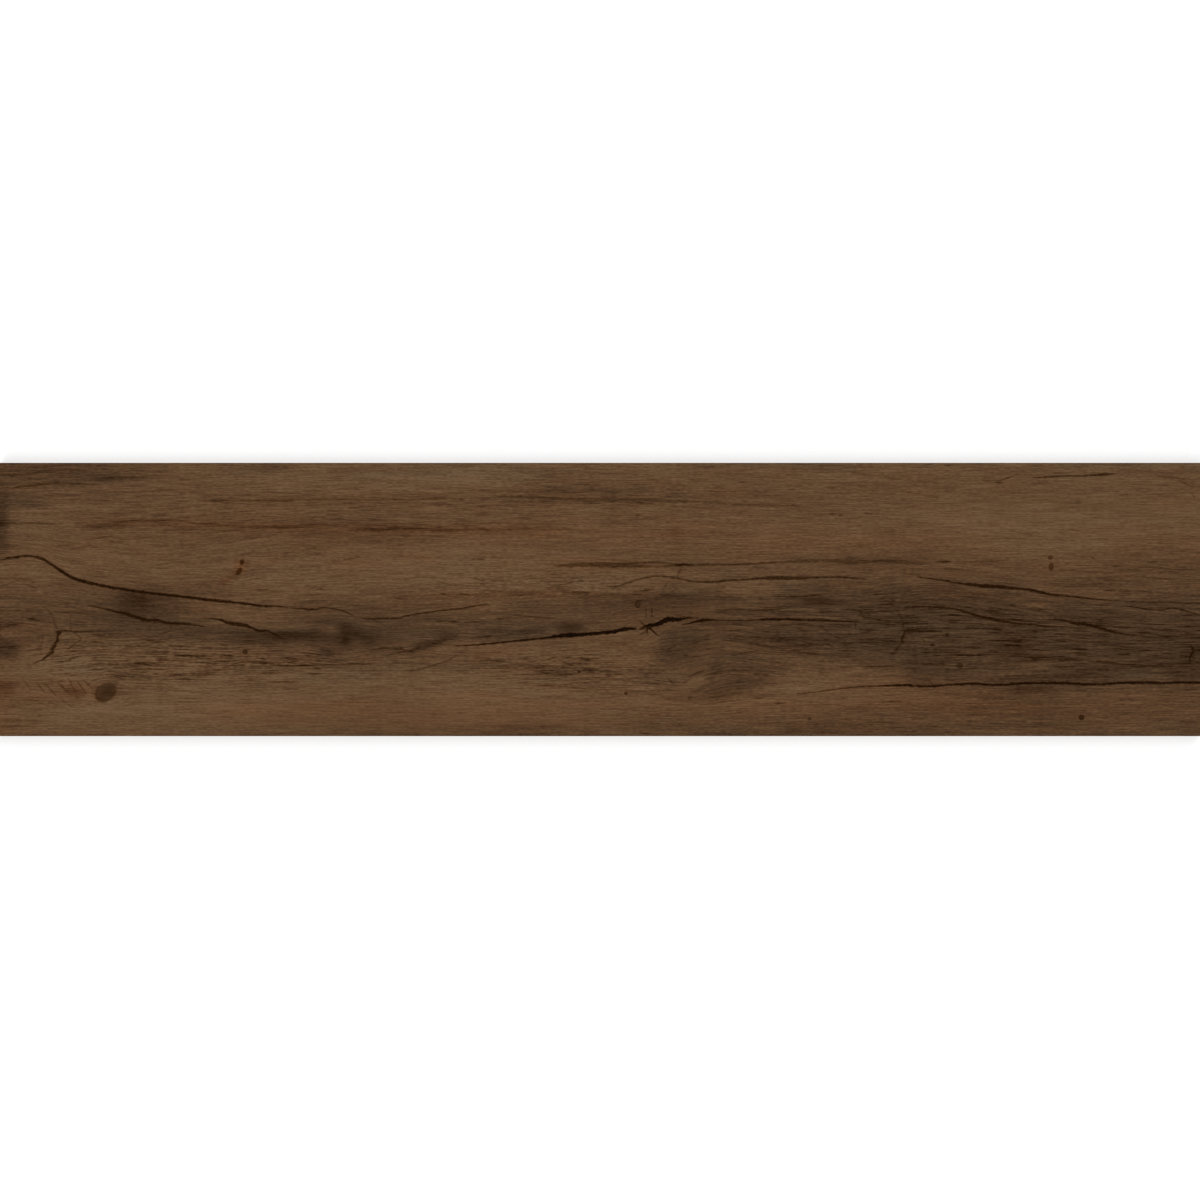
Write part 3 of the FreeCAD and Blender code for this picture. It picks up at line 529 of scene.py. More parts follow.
# Small soft patches: (x, y, half length, half height, levels lighter, reddish cast, fall to the right
# end), in photo pixels; the last ones are left out where they are 0
PATCHES = {
    "left": [
        (0, 524, 9, 33, -24), (0, 520, 6, 7, -8), (24, 502, 26, 9, -12, -1.5), (10, 550, 20, 12, -5),
        (6, 650, 14, 11, -26), (6, 627, 16, 5, -12, 2, -2), (8, 636, 26, 14, -5), (3, 688, 12, 7, -19, 2),
        (0, 628, 3, 13, -8, 3), (12, 724, 24, 10, -5, 0.5), (134, 602, 18, 11, -16, 1, 1),
        (150, 626, 52, 12, -6, 0, 3), (158, 588, 10, 4, -7), (262, 635, 44, 7.5, -9, -0.5, 1),
        (290, 634.5, 22, 5, -4, -1), (285, 613, 50, 9, -7, 0, 5), (34, 640, 20, 14, -4, 0.5),
        (172, 603, 30, 8, -6, 0, 1), (204, 591, 28, 7, -11, 0, 3), (75, 587, 24, 5, -6, 0, 2),
        (262, 602, 16, 4, -7, 0, 2), (80, 620, 24, 5, -5), (105, 634, 14, 5, -8),
        (205, 634, 20, 4, -9, 0, 1), (140, 642, 14, 4, -5), (80, 666, 44, 10, 10, -1.5),
        (115, 656, 34, 7, 6), (290, 674, 32, 5, 5), (90, 716, 54, 12, 4), (200, 648, 20, 5, 5),
        (54, 713, 44, 9, 4), (186, 667, 14, 5, 4), (81, 691, 16, 5, -3, 1.5), (75, 693, 8, 6, -15, 2.2, 2),
        (95, 700, 6, 4, 6, 1, 3), (2, 700, 10, 32, 0, 2.6), (105.2, 692.6, 9.8, 8.2, -30, 0.8, -4),
        (98, 697, 5, 4, 0, 2.2, 2), (113.5, 690.5, 4, 6, -2, 2.2), (102, 691.5, 3.5, 4.5, 0, -3.5),
        (108, 704.5, 9, 3, 2, -2.5, -1), (127, 692, 15, 8, -6, 1.5)],
    "upper_left": [
        (112, 477, 9, 4, -6, -1), (105, 525, 24, 5, -6, 0.5, -1), (268, 468, 19, 5, -7, -1.5),
        (258, 468, 54, 7, -6), (110, 542, 24, 4, -5, 0, -2), (300, 559, 24, 8, 0, -1.5),
        (380, 471, 60, 3, -4), (340, 538, 90, 7, -5, 0.5), (352, 559, 18, 4, -4), (240, 567, 6, 8, -2, 7),
        (229, 578.5, 9, 4, -11, 5, -5), (492, 484, 28, 13, 4), (536, 505, 28, 8, -4)],
    "dark_knot": [
        (315, 603, 24, 9, -6, 0, 2), (298, 636, 20, 5, -5), (255, 640, 28, 7, -5),
        (345.5, 635.5, 8, 10.5, -15, -0.3), (357, 632, 6, 5, -7), (345.5, 643, 6, 3.5, -6),
        (367, 642, 6, 5, -6), (328.5, 629, 9.5, 4.5, 11, 0.5), (362, 634, 13, 7, -8, -1, 1),
        (323, 621.5, 9, 2.5, -7, 1), (326, 652.5, 9, 5, -18, -0.5, 2), (362, 658, 13, 4, 8, 1.5),
        (306, 634, 12, 6, -5, -1), (322, 620, 20, 7, -7), (334, 640, 10, 6, -4), (380, 641, 18, 6, -6),
        (368, 640, 12, 7, -5, -0.5), (372, 582, 34, 6, 4), (322, 636, 12, 8, -5, 0.5),
        (359, 628, 14, 5, 6, -0.5), (352, 608, 16, 5, -6, 0, 1), (336, 645, 12, 4, -5, 0.5),
        (293, 619, 13, 6, -6, 0.5), (310, 658, 14, 5, -5, 0.5), (366, 660, 14, 3.5, -5, 0.5),
        (392, 655, 14, 5, 5), (391, 622, 10, 4, 5), (345, 627, 5, 5.5, -7, -0.3),
        (334, 629.8, 4.5, 2.2, 8, 0.5, 2)],
    "middle": [
        (427, 645, 16, 5, -24, 1.2, -3), (448, 637, 12, 6, -15, 0, -2), (512, 634, 36, 5, -12, -1.5, -1),
        (462, 563, 24, 9, 0, -2.5), (608, 585, 36, 8, 2, -2.5), (640, 570, 30, 5, 5),
        (604, 689, 26, 10, -5, 0.5), (552, 630.5, 5, 3, 5, -1), (540, 631, 10, 4, -5, -1),
        (494, 653, 20, 6, -5, 2), (570.5, 628.6, 13.5, 6.4, -21, -0.8), (566, 617.5, 24, 5, 7),
        (474, 616, 26, 8, 4), (560, 670, 42, 6, -5, 1), (520, 650, 34, 5, 4, 0, -3),
        (620, 564.6, 28, 3, -4, 0.5), (738, 557, 30, 6, 0, 2.5), (680, 571, 3, 7, -6, 0.5),
        (671, 584, 7, 7, -4, 0, -4), (642, 488, 8, 5, -6, -1.5), (678, 538, 6, 11, -6, 1.5),
        (669, 533, 7, 4, -4, 0.5), (520, 731, 42, 5, -4, 1)],
    "swirl": [
        (695, 682, 11, 6.5, 9, 1, -2), (686, 636, 24, 6, -8, -1), (676, 650, 22, 14, -13, -0.5),
        (620, 644, 22, 6, -6, 0.5), (765, 684, 14, 6, -4, 1, -2), (672, 699, 24, 8, 0, 1.5),
        (716, 668, 6, 5, -5, -1.5), (697, 696, 26, 6, -6, 1, -3), (730, 692, 22, 6, -6, 1.5, -4),
        (782, 645, 28, 6, -7, 1, 2), (785, 636, 20, 5, -4, -1.5), (754, 592, 24, 12, 4),
        (788, 588, 14, 7, -5, -2), (820, 614, 26, 9, 7, 0.5), (874, 578, 18, 4, 5),
        (817, 585, 13, 8, -6, -1.5), (810, 600, 32, 5, -8, 0.5), (819, 602.6, 18, 3.6, -8, 0.8),
        (801, 605.5, 13, 4, -5)],
    "right": [
        (870, 561, 32, 4, -5, 1), (962, 594, 40, 6, -5, 2, 3), (985, 571, 32, 4, 5),
        (922, 684, 22, 5, -5, 0.5), (875, 641, 30, 6, -6, -0.5, 2), (850, 659, 22, 6, -7),
        (990, 692, 60, 5, 0, 1.8), (868, 724, 60, 8, 0, 1.2), (903, 625, 3, 7, -6),
        (896, 650, 5, 4, -7, 0, -5), (878, 618, 20, 6, 5), (888, 603, 12, 4, 5), (886, 622, 16, 4, 4),
        (925, 651, 8, 5, -6, -1.5, 2), (917, 668, 24, 16, -4), (960, 633, 48, 11, 5), (997, 672, 26, 7, 4),
        (943, 702, 32, 8, 4, 1), (830, 729, 34, 7, -4, 1)],
    "far_right": [
        (1087, 586, 32, 7, -5, 0.5), (1022, 640, 22, 9, -4, 1.5), (1168, 650, 28, 9, 3),
        (1016, 655, 22, 7, -10, 0.5), (1182, 674, 20, 7, -9), (1000, 627, 20, 6, 6), (1068, 636, 20, 7, 6),
        (1060, 728, 44, 7, -4), (1036, 693, 30, 5, -4, 1), (1068, 550, 50, 12, 0, -2),
        (1140, 674, 28, 5, 4, -3), (1044, 635, 16, 6, 0, -2), (1036, 604.5, 13, 2, 11, 2),
        (1022, 689, 26, 4, -9, 1.5), (1010, 481, 14, 5, -7, 0.5, -2), (1190, 483, 12, 4, -5, 0, 2),
        (1004, 595, 6, 6, -5), (1026, 706.5, 10, 3, 3, 2.5), (1050.5, 557.5, 4, 3.5, 0, 2.6),
        (1051.2, 566.8, 4, 5, 0, 1.4), (1156, 688, 28, 6, -3)],
}

# Round spots: (x, y, half width, half height, lean in degrees, ink), in photo pixels
SPOTS = {
    "pin_knot_a": (242, 562, 2.4, 2.8, 20, 0.56), "pin_knot_b": (239, 571.5, 4.4, 2.4, -55, 0.54),
    "pin_knot_c": (1050.5, 557.5, 2.7, 2.3, 0, 0.42), "pin_knot_d": (1051.2, 566.8, 2.5, 4.2, 8, 0.42),
    "seed_knot": (105.8, 692.4, 11.7, 8.7, -36, 0.24), "speck_a": (245, 652, 2.8, 2.2, 0, 0.5),
    "speck_b": (637.5, 604, 2.6, 3.2, 0, 0.3), "speck_c": (579, 671.7, 2, 1.6, 0, 0.5),
    "speck_d": (626, 693.5, 2, 1.8, 0, 0.45), "speck_e": (1081.5, 717.5, 3, 2.8, 0, 0.55),
    "speck_f": (809.5, 718.5, 2, 1.8, 0, 0.32), "speck_g": (947, 634.5, 2, 1.6, 0, 0.45),
    "speck_h": (932.5, 645, 2.2, 1.6, 0, 0.42), "speck_i": (960, 665.5, 3.2, 3, 0, 0.38),
}

# How far the grain leaves the level, drawn as the stains are, in pixels down
SHIFTS = {
    "left_split": [
        (-60, 560, 26, 26, -10), (30, 558, 26, 26, -11), (70, 576, 30, 26, -4), (120, 588, 36, 30, 2),
        (200, 598, 40, 30, 6), (286, 607, 36, 28, 7), (380, 614, 30, 24, 4), (460, 606, 30, 24, 0)],
    "heart_split": [
        (420, 650, 20, 20, 0), (480, 644, 22, 22, 4), (560, 636, 22, 22, 1), (640, 627, 22, 22, -3),
        (700, 619, 22, 22, -5), (780, 619, 22, 22, -3), (860, 621, 22, 22, 0)],
    "right_split": [
        (860, 570, 26, 26, 0), (920, 576, 26, 26, -4), (1000, 587, 28, 26, -1), (1060, 597, 28, 26, 2),
        (1130, 604, 28, 26, 4), (1200, 614, 28, 26, 5), (1260, 616, 28, 26, 0)],
    "right_check": [
        (900, 606, 18, 22, 0), (950, 608, 18, 22, -3), (1010, 621, 18, 22, 1), (1060, 624, 18, 22, 2),
        (1120, 634, 18, 22, 4), (1200, 640, 18, 22, 4), (1260, 640, 18, 22, 0)],
    "left_slant": [
        (100, 548, 24, 20, 0), (160, 556, 26, 20, 4), (230, 548, 28, 20, 0), (300, 540, 26, 20, -4),
        (380, 540, 24, 20, 0)],
    "swirl": [
        (640, 674, 24, 24, 0), (686, 672, 24, 26, 1), (726, 664, 24, 28, -7), (770, 668, 22, 24, -3),
        (830, 670, 20, 20, 0)],
}

# Knots that the grain parts round: (x, y, half width, half height, bulge), in photo pixels
KNOTS = {
    "left_eye": (8, 634, 34, 20, 7), "seed_knot": (106, 692, 14, 12, 4), "dark_knot": (338, 636, 22, 14, 5),
    "swirl": (700, 670, 30, 20, 5), "pin_knots": (240, 566, 9, 8, 2.5), "star": (648, 628, 12, 8, 2.5),
}

# Where more dark dashes show between the grain, drawn as the stains are
DASHES = {
    "left": [
        (20, 658, 14, 20, 0), (60, 660, 18, 24, 0.5), (140, 662, 20, 22, 0.6), (240, 660, 18, 16, 0.7),
        (320, 660, 12, 12, 0.5), (400, 662, 10, 12, 0.3), (450, 664, 10, 10, 0)],
    "low": [
        (440, 664, 10, 12, 0.1), (500, 664, 12, 16, 0.4), (580, 668, 14, 20, 0.5), (640, 672, 16, 20, 0.3),
        (700, 670, 20, 24, 0.05), (770, 670, 18, 16, 0.15), (830, 664, 14, 10, 0)],
    "belly": [
        (700, 606, 10, 24, 0), (760, 612, 14, 30, 0.3), (880, 622, 26, 44, 0.35), (1000, 634, 30, 40, 0.4),
        (1100, 646, 30, 30, 0.4), (1220, 646, 34, 34, 0.4)],
    "top": [
        (60, 510, 20, 24, 0.1), (200, 512, 24, 24, 0.25), (420, 514, 20, 22, 0.25), (620, 500, 18, 16, 0.2),
        (760, 500, 16, 14, 0)],
}

# Where the grain stands out more or less than elsewhere, drawn as the stains are
FIGURE = {
    "left_dashes": [
        (20, 660, 16, 18, 0), (80, 660, 16, 18, 0.6), (160, 662, 18, 18, 0.8), (260, 660, 16, 16, 0.6),
        (340, 658, 14, 14, 0.2), (400, 660, 12, 12, 0)],
    "low_dashes": [
        (440, 664, 12, 12, 0), (500, 664, 12, 14, 0.4), (570, 666, 14, 16, 0.6), (636, 670, 16, 18, 0.4),
        (690, 662, 30, 34, -0.25), (770, 672, 20, 20, 0.15), (840, 680, 12, 14, 0)],
    "dark_knot": [
        (215, 636, 8, 9, 0), (250, 637, 9, 10, -0.35), (340, 636, 18, 16, -0.45), (380, 636, 14, 12, -0.3),
        (410, 636, 10, 10, 0)],
    "dark_block": [
        (545, 627, 8, 8, 0), (560, 627, 7, 7, -0.6), (582, 627, 7, 7, -0.6), (597, 627, 8, 8, 0)],
    "dark_band": [(785, 601, 6, 6, 0), (808, 601, 6, 6, -0.5), (836, 601, 6, 6, -0.5), (856, 601, 6, 6, 0)],
    "crackle": [
        (420, 585, 10, 12, 0), (480, 585, 12, 14, 0.5), (600, 585, 12, 12, 0.4), (650, 586, 10, 10, 0)],
    "calm_low": [
        (160, 712, 14, 20, 0), (260, 714, 16, 24, -0.3), (420, 714, 18, 24, -0.3), (560, 716, 16, 20, -0.2),
        (680, 716, 12, 16, 0)],
    "calm_high": [(860, 512, 20, 24, 0), (980, 510, 24, 28, -0.2), (1220, 510, 24, 28, -0.2)],
}

# Where the thicker streaks show, drawn as the stains are
REEDS = {
    "heart": [
        (640, 610, 20, 30, 0), (740, 616, 30, 40, 0.45), (900, 626, 40, 52, 0.5), (1060, 634, 44, 50, 0.55),
        (1220, 640, 44, 46, 0.5)],
}


def on_photo(x, y):
    """The photograph's pixel that shows a place on the face."""
    return MIDDLE_PX[0] + x / PX, MIDDLE_PX[1] - y / PX


def on_plank(points):
    """Places on the face, in metres, of points given in the photograph's pixels."""
    return (points - MIDDLE_PX) * (PX, -PX)


def turned(along, across, degrees):
    """A step along and across, turned about its start."""
    cosine, sine = math.cos(math.radians(degrees)), math.sin(math.radians(degrees))
    return along * cosine - across * sine, along * sine + across * cosine


def smooth(points, step):
    """Rows about a step apart on a smooth curve through given rows."""
    given = np.asarray(points, float)
    led = np.vstack([2 * given[0] - given[1], given, 2 * given[-1] - given[-2]])
    rows = []
    for before, start, end, after in zip(led, led[1:], led[2:], led[3:]):
        count = max(1, round(math.dist(start[:2], end[:2]) / step))
        t = np.linspace(0, 1, count, endpoint=False)[:, None]
        leave, arrive = (end - before) / 2, (after - start) / 2
        rows.append((2 * t**3 - 3 * t**2 + 1) * start + (t**3 - 2 * t**2 + t) * leave
                    + (3 * t**2 - 2 * t**3) * end + (t**3 - t**2) * arrive)
    return np.vstack([*rows, given[-1]])


def stroke_line(x, y, run, width, percent, fall=0):
    """A short mark, written as the lines are."""
    tip = STROKE_TIP * width
    points = [(x, y, tip), (x + run / 2, y + fall / 2, width), (x + run, y + fall, tip)]
    return percent / 100, points


def ragged(points, chance):
    """A line's curve with a hand-torn edge: its place and width wander a little along it."""
    curve = smooth(points, LINE_STEP)
    sway = chance.uniform(-1, 1, (len(curve), 2))
    width = curve[:, 2]
    curve[:, 1] += LINE_SWAY * np.minimum(width, SWAY_WIDTH) * sway[:, 0]
    curve[:, 2] = width * (1 + LINE_SWELL * sway[:, 1])
    return curve


def stain(x, y, points):
    """A stain's level at each place: full on its middle line, fading above and below it."""
    curve = smooth(points, STAIN_STEP)
    inside = np.clip(np.minimum(x - curve[0, 0], curve[-1, 0] - x) / STAIN_END, 0, 1)
    middle, up, down, level = (np.interp(x, curve[:, 0], curve[:, i]) for i in range(1, 5))
    away = np.where(y < middle, (middle - y) / up, (y - middle) / down)
    return inside * level * np.exp(-np.abs(away) ** STAIN_FALL)


def levels(x, y, stains):
    """What a table of stains adds up to at each place."""
    return sum(stain(x, y, points) for points in stains.values())


def patch_levels(x, y, middle_x, middle_y, long, high, lighter, redder=0, fall=0):
    """What one small patch adds to the tone and to the cast at each place."""
    along = (x - middle_x) / long
    across = (y - middle_y - fall * along) / high
    share = np.exp(-np.abs(along) ** PATCH_FALL - np.abs(across) ** PATCH_FALL)
    return np.array([share * lighter, share * redder])


def from_curve(x, y, curve):
    """Each place's distance from a curve, and the curve's width at the nearest point."""
    best, width = np.full(x.shape, np.inf), np.zeros(x.shape)
    for start, end in zip(curve, curve[1:]):
        step = end - start
        t = ((x - start[0]) * step[0] + (y - start[1]) * step[1]) / (step[0] ** 2 + step[1] ** 2)
        t = np.clip(t, 0, 1)
        gap = np.hypot(x - start[0] - t * step[0], y - start[1] - t * step[1])
        width = np.where(gap < best, start[2] + t * step[2], width)
        best = np.minimum(gap, best)
    return best, width


def beside(x, y, curve):
    """Which places are close to a curve, their distance from it, and its width there."""
    low, high = curve[:, :2].min(0) - LINE_MARGIN, curve[:, :2].max(0) + LINE_MARGIN
    near = (x > low[0]) & (x < high[0]) & (y > low[1]) & (y < high[1])
    return near, *from_curve(x[near], y[near], curve)


def inside_spot(x, y, spot):
    """1 in a spot, falling to 0 across its soft edge."""
    middle_x, middle_y, half_width, half_height, lean, _ = spot
    along, across = turned(x - middle_x, y - middle_y, -lean)
    inner, *_, outer = SPOT_RINGS
    reach = np.hypot(along / half_width, across / half_height)
    return np.clip((outer - reach) / (outer - inner), 0, 1)


def drawn(x, y, curves):
    """How dark the lines and spots are at each place, and how deep they are carved."""
    ink, depth = np.zeros(x.shape), np.zeros(x.shape)
    for strength, curve in curves:
        near, gap, width = beside(x, y, curve)
        mark = strength * np.clip((width / 2 + LINE_EDGE - gap) / (2 * LINE_EDGE), 0, 1)
        ink[near] = np.where(np.abs(mark) > np.abs(ink[near]), mark, ink[near])
        depth[near] = np.maximum(depth[near], mark * (LEAST_CARVE + CARVE_PER_WIDTH * width))
    for spot in SPOTS.values():
        mark = spot[-1] * inside_spot(x, y, spot)
        ink = np.where(mark > 0, np.maximum(ink, mark), ink)
        depth = np.maximum(depth, mark * SPOT_CARVE)
    return ink, depth


def flow(x, y):
    """The height, in pixels, of the grain line through each place.

    The grain bends with the splits and parts round the knots.
    """
    level = y - levels(x, y, SHIFTS)
    for middle_x, middle_y, half_width, half_height, bulge in KNOTS.values():
        along, across = (x - middle_x) / half_width, (level - middle_y) / half_height
        level = level - bulge * across * np.exp((1 - across**2 - along**2) / 2)
    return level


def eased(t):
    """A share from 0 to 1 that starts and ends gently."""
    return t * t * (3 - 2 * t)


def wander(u, v, seed):
    """Smooth noise from -1 to 1 with one bump to each unit of u and v."""
    table = np.random.default_rng(seed).uniform(-1, 1, (RIDGE_TABLE, RIDGE_TABLE))
    column, row = np.floor(u).astype(int), np.floor(v).astype(int)
    along, across = eased(u - column), eased(v - row)

    def along_row(index):
        start = table[column % RIDGE_TABLE, index % RIDGE_TABLE]
        end = table[(column + 1) % RIDGE_TABLE, index % RIDGE_TABLE]
        return start * (1 - along) + end * along

    return along_row(row) * (1 - across) + along_row(row + 1) * across


def carve(x, y, depth):
    """Height of the face: the lines cut into it, and the grain stands in soft ridges."""
    px, py = on_photo(x, y)
    line = flow(px, py)
    ridges = sum(share * wander(px / along, line / across, SEED + i)
                 for i, (share, along, across) in enumerate(RIDGES))
    return TOP - depth - RIDGE * (1 + ridges) / 2


def face_grid():
    """Even columns and rows on the face, and its middle column, where the texture map is cut."""
    x = np.linspace(-FACE_X, FACE_X, GRID_ALONG + 1)
    y = np.linspace(-FACE_Y, FACE_Y, GRID_ACROSS + 1)
    return x, y, x[GRID_ALONG // 2]


def rails(curve):
    """Points of the mesh along a line: on its middle, on its floor's edges and on its lips."""
    middle = curve[:, :2]
    run = np.gradient(middle, axis=0)
    run /= np.linalg.norm(run, axis=1)[:, None]
    side = np.stack([-run[:, 1], run[:, 0]], axis=1)
    lip, floor = curve[:, 2] / 2 + LINE_EDGE, curve[:, 2] / 2 - LINE_EDGE
    points = [middle]
    for sign in (-1, 1):
        points.append(middle + sign * lip[:, None] * side)
        points.append((middle + sign * floor[:, None] * side)[floor > LEAST_FLOOR])
    return np.vstack(points)


def spot_points(spot):
    """Points of the mesh in a spot: its middle, and rings in and round it."""
    middle_x, middle_y, half_width, half_height, lean, _ = spot
    angle = np.linspace(0, 2 * math.pi, SPOT_SIDES, endpoint=False)
    points = [(middle_x, middle_y)]
    for ring in SPOT_RINGS:
        x, y = turned(ring * half_width * np.cos(angle), ring * half_height * np.sin(angle), lean)
        points.extend(zip(middle_x + x, middle_y + y))
    return np.array(points)


def face_points(curves):
    """All mesh points of the face: the grid, thinned beside the lines and spots, and their own."""
    columns, rows, seam = face_grid()
    x, y = (places.ravel() for places in np.meshgrid(columns, rows))
    keep = np.ones(x.shape, bool)
    px, py = on_photo(x, y)
    for _, curve in curves:
        near, gap, width = beside(px, py, curve)
        keep[near] &= gap > width / 2 + LINE_EDGE + CLEAR
    for spot in SPOTS.values():
        keep &= inside_spot(px, py, spot) == 0
    keep |= (np.abs(x) >= FACE_X) | (np.abs(y) >= FACE_Y) | (x == seam)
    extra = [*(rails(curve) for _, curve in curves), *map(spot_points, SPOTS.values())]
    extra = on_plank(np.vstack(extra))
    room = (np.abs(extra) < (FACE_X - CLEAR * PX, FACE_Y - CLEAR * PX)).all(axis=1)
    return np.vstack([np.stack([x[keep], y[keep]], axis=1), extra[room]])


def triangulated(points, edges=()):
    """A flat mesh through these points: its vertices and upward triangles, and each vertex's point."""
    found = delaunay_2d_cdt([Vector(p) for p in points], list(edges), [], 0, MERGE)
    vertices, _, triangles, origins = found[:4]
    return np.array(vertices), [tuple(face) for face in triangles], [origin[0] for origin in origins]


def round_the_edge(xy):
    """The vertices on the face's edge, in turn from its low left corner and anticlockwise."""
    x, y = xy.T
    sides = [
        (np.isclose(x, -FACE_X), 4 * FACE_X + 3 * FACE_Y - y),
        (np.isclose(y, FACE_Y), 3 * FACE_X + 2 * FACE_Y - x),
        (np.isclose(x, FACE_X), 2 * FACE_X + FACE_Y + y),
        (np.isclose(y, -FACE_Y), FACE_X + x),
    ]
    way = np.full(len(x), np.inf)
    for on_side, length in sides:
        way[on_side] = length[on_side]
    order = np.argsort(way, kind="stable")
    return order[np.isfinite(way[order])]


def band(upper, lower, outward=True):
    """Quads between two closed rings of vertices that run anticlockwise, the upper one first."""
    rings = zip(lower, np.roll(lower, -1), np.roll(upper, -1), upper)
    return [quad if outward else quad[::-1] for quad in rings]


def well_middles():
    """The middles of the back's wells."""
    along = (np.arange(WELLS_ALONG) - (WELLS_ALONG - 1) / 2) * PITCH_ALONG
    across = (np.arange(WELLS_ACROSS) - (WELLS_ACROSS - 1) / 2) * PITCH_ACROSS
    return [(x, y) for x in along for y in across]


def well_ring(middle, inset):
    """A round-cornered ring of a well, anticlockwise, this far inside its mouth."""
    radius = WELL_CORNER - inset
    angles = np.linspace(0, math.pi / 2, WELL_CORNER_SIDES + 1)
    points = []
    for quarter, (side_x, side_y) in enumerate(CORNERS):
        hub_x = middle[0] + side_x * (WELL_LENGTH / 2 - WELL_CORNER)
        hub_y = middle[1] + side_y * (WELL_WIDTH / 2 - WELL_CORNER)
        turn = angles + quarter * math.pi / 2
        points.extend(zip(hub_x + radius * np.cos(turn), hub_y + radius * np.sin(turn)))
    return np.array(points)


def in_a_well(x, y):
    """True inside the mouth of a well."""
    cell_x = (x / PITCH_ALONG + WELLS_ALONG / 2) % 1 - 0.5
    cell_y = (y / PITCH_ACROSS + WELLS_ACROSS / 2) % 1 - 0.5
    past_x = np.maximum(np.abs(cell_x) * PITCH_ALONG - WELL_LENGTH / 2 + WELL_CORNER, 0)
    past_y = np.maximum(np.abs(cell_y) * PITCH_ACROSS - WELL_WIDTH / 2 + WELL_CORNER, 0)
    in_rows = np.abs(y) < PITCH_ACROSS * WELLS_ACROSS / 2
    in_columns = np.abs(x) < PITCH_ALONG * WELLS_ALONG / 2
    return in_rows & in_columns & (np.hypot(past_x, past_y) < WELL_CORNER)


class Shell:
    """A mesh that grows by rings and sheets of vertices; each face has a patch of the texture map."""

    def __init__(self):
        self.places, self.faces, self.patches = [], [], []

    def add(self, xy, z):
        """New vertices at a height, or each at its own; gives their numbers."""
        first = len(self.places)
        self.places.extend(np.column_stack([xy, np.broadcast_to(z, len(xy))]))
        return np.arange(first, first + len(xy))

    def cover(self, faces, patch):
        """New faces that lie on one patch."""
        self.faces.extend(faces)
        self.patches.extend([patch] * len(faces))


def add_face(shell, curves):
    """The carved face, in two halves on the texture map; gives the places of its vertices."""
    points = face_points(curves)
    seam = np.flatnonzero(points[:, 0] == face_grid()[-1])
    seam = seam[np.argsort(points[seam, 1])]
    xy, triangles, _ = triangulated(points, zip(seam.tolist(), seam[1:].tolist()))
    _, depth = drawn(*on_photo(*xy.T), curves)
    shell.add(xy, carve(*xy.T, depth))
    middle = np.array([xy[list(face), 0].mean() for face in triangles])
    for patch, side in zip(FACE_PATCHES, (middle < 0, middle >= 0)):
        shell.cover([triangles[i] for i in np.flatnonzero(side)], patch)
    return xy


def add_edges(shell, face_xy):
    """The bevel and the four sides; gives the ring of vertices at their foot, and its places."""
    rim = round_the_edge(face_xy)
    rim_xy = face_xy[rim]
    at_edge = np.isclose(np.abs(rim_xy), (FACE_X, FACE_Y))
    outer_xy = rim_xy + np.where(at_edge, np.sign(rim_xy) * BEVEL, 0)
    shoulder = shell.add(outer_xy, TOP - BEVEL)
    foot = shell.add(outer_xy, 0.0)
    runs = zip(outer_xy, np.roll(outer_xy, -1, axis=0))
    for (start, end), slope, upright in zip(runs, band(rim, shoulder), band(shoulder, foot)):
        on_left, is_low = start + end < 0
        shell.cover([slope], FACE_PATCHES[0 if on_left else 1])
        if start[1] == end[1]:
            shell.cover([upright], "side_low" if is_low else "side_high")
        else:
            shell.cover([upright], "end_left" if on_left else "end_right")
    return foot, outer_xy


def add_back(shell, foot, foot_xy):
    """The ribs of the back and its wells, each with a rounded mouth and a drafted wall."""
    run, soft = WELL_DEPTH * math.tan(WELL_DRAFT), WELL_SOFT / 2
    profile = [
        (0.0, 0.0), (WELL_SOFT, soft), (run - soft, WELL_DEPTH - soft), (run + soft, WELL_DEPTH)]
    places, owners = [foot_xy], [foot]
    for middle in well_middles():
        rings = [shell.add(well_ring(middle, inset), height) for inset, height in profile]
        places.append(well_ring(middle, 0.0))
        owners.append(rings[0])
        for lower, upper in zip(rings, rings[1:]):
            shell.cover(band(upper, lower, outward=False), "back")
        shell.cover([tuple(rings[-1][::-1])], "back")
    xy, triangles, origins = triangulated(np.vstack(places))
    owners = np.concatenate(owners)[origins]
    middle = np.array([xy[list(face)].mean(0) for face in triangles])
    ribs = np.flatnonzero(~in_a_well(*middle.T))
    shell.cover([tuple(owners[list(triangles[i])][::-1]) for i in ribs], "back")


def patch_uv(patch, x, y, z):
    """Where a place lies on the texture map, in texels: the face in two strips, the rest smaller."""
    along, across, up = (x - LOW.x) / MM, (y - LOW.y) / MM, z / MM
    if patch == "face_left":
        return MAP_MARGIN + FACE_TEXELS * along, MAP_MARGIN + FACE_TEXELS * across
    if patch == "face_right":
        along = along - LENGTH / MM / 2
        return MAP_MARGIN + FACE_TEXELS * along, FACE_RIGHT_ROW + FACE_TEXELS * across
    if patch == "back":
        return MAP_MARGIN + BACK_TEXELS * along, BACK_ROW + BACK_TEXELS * across
    run = along if patch.startswith("side") else across
    return SIDE_COLUMNS[patch] + SIDE_TEXELS * up, MAP_MARGIN + EDGE_TEXELS * run


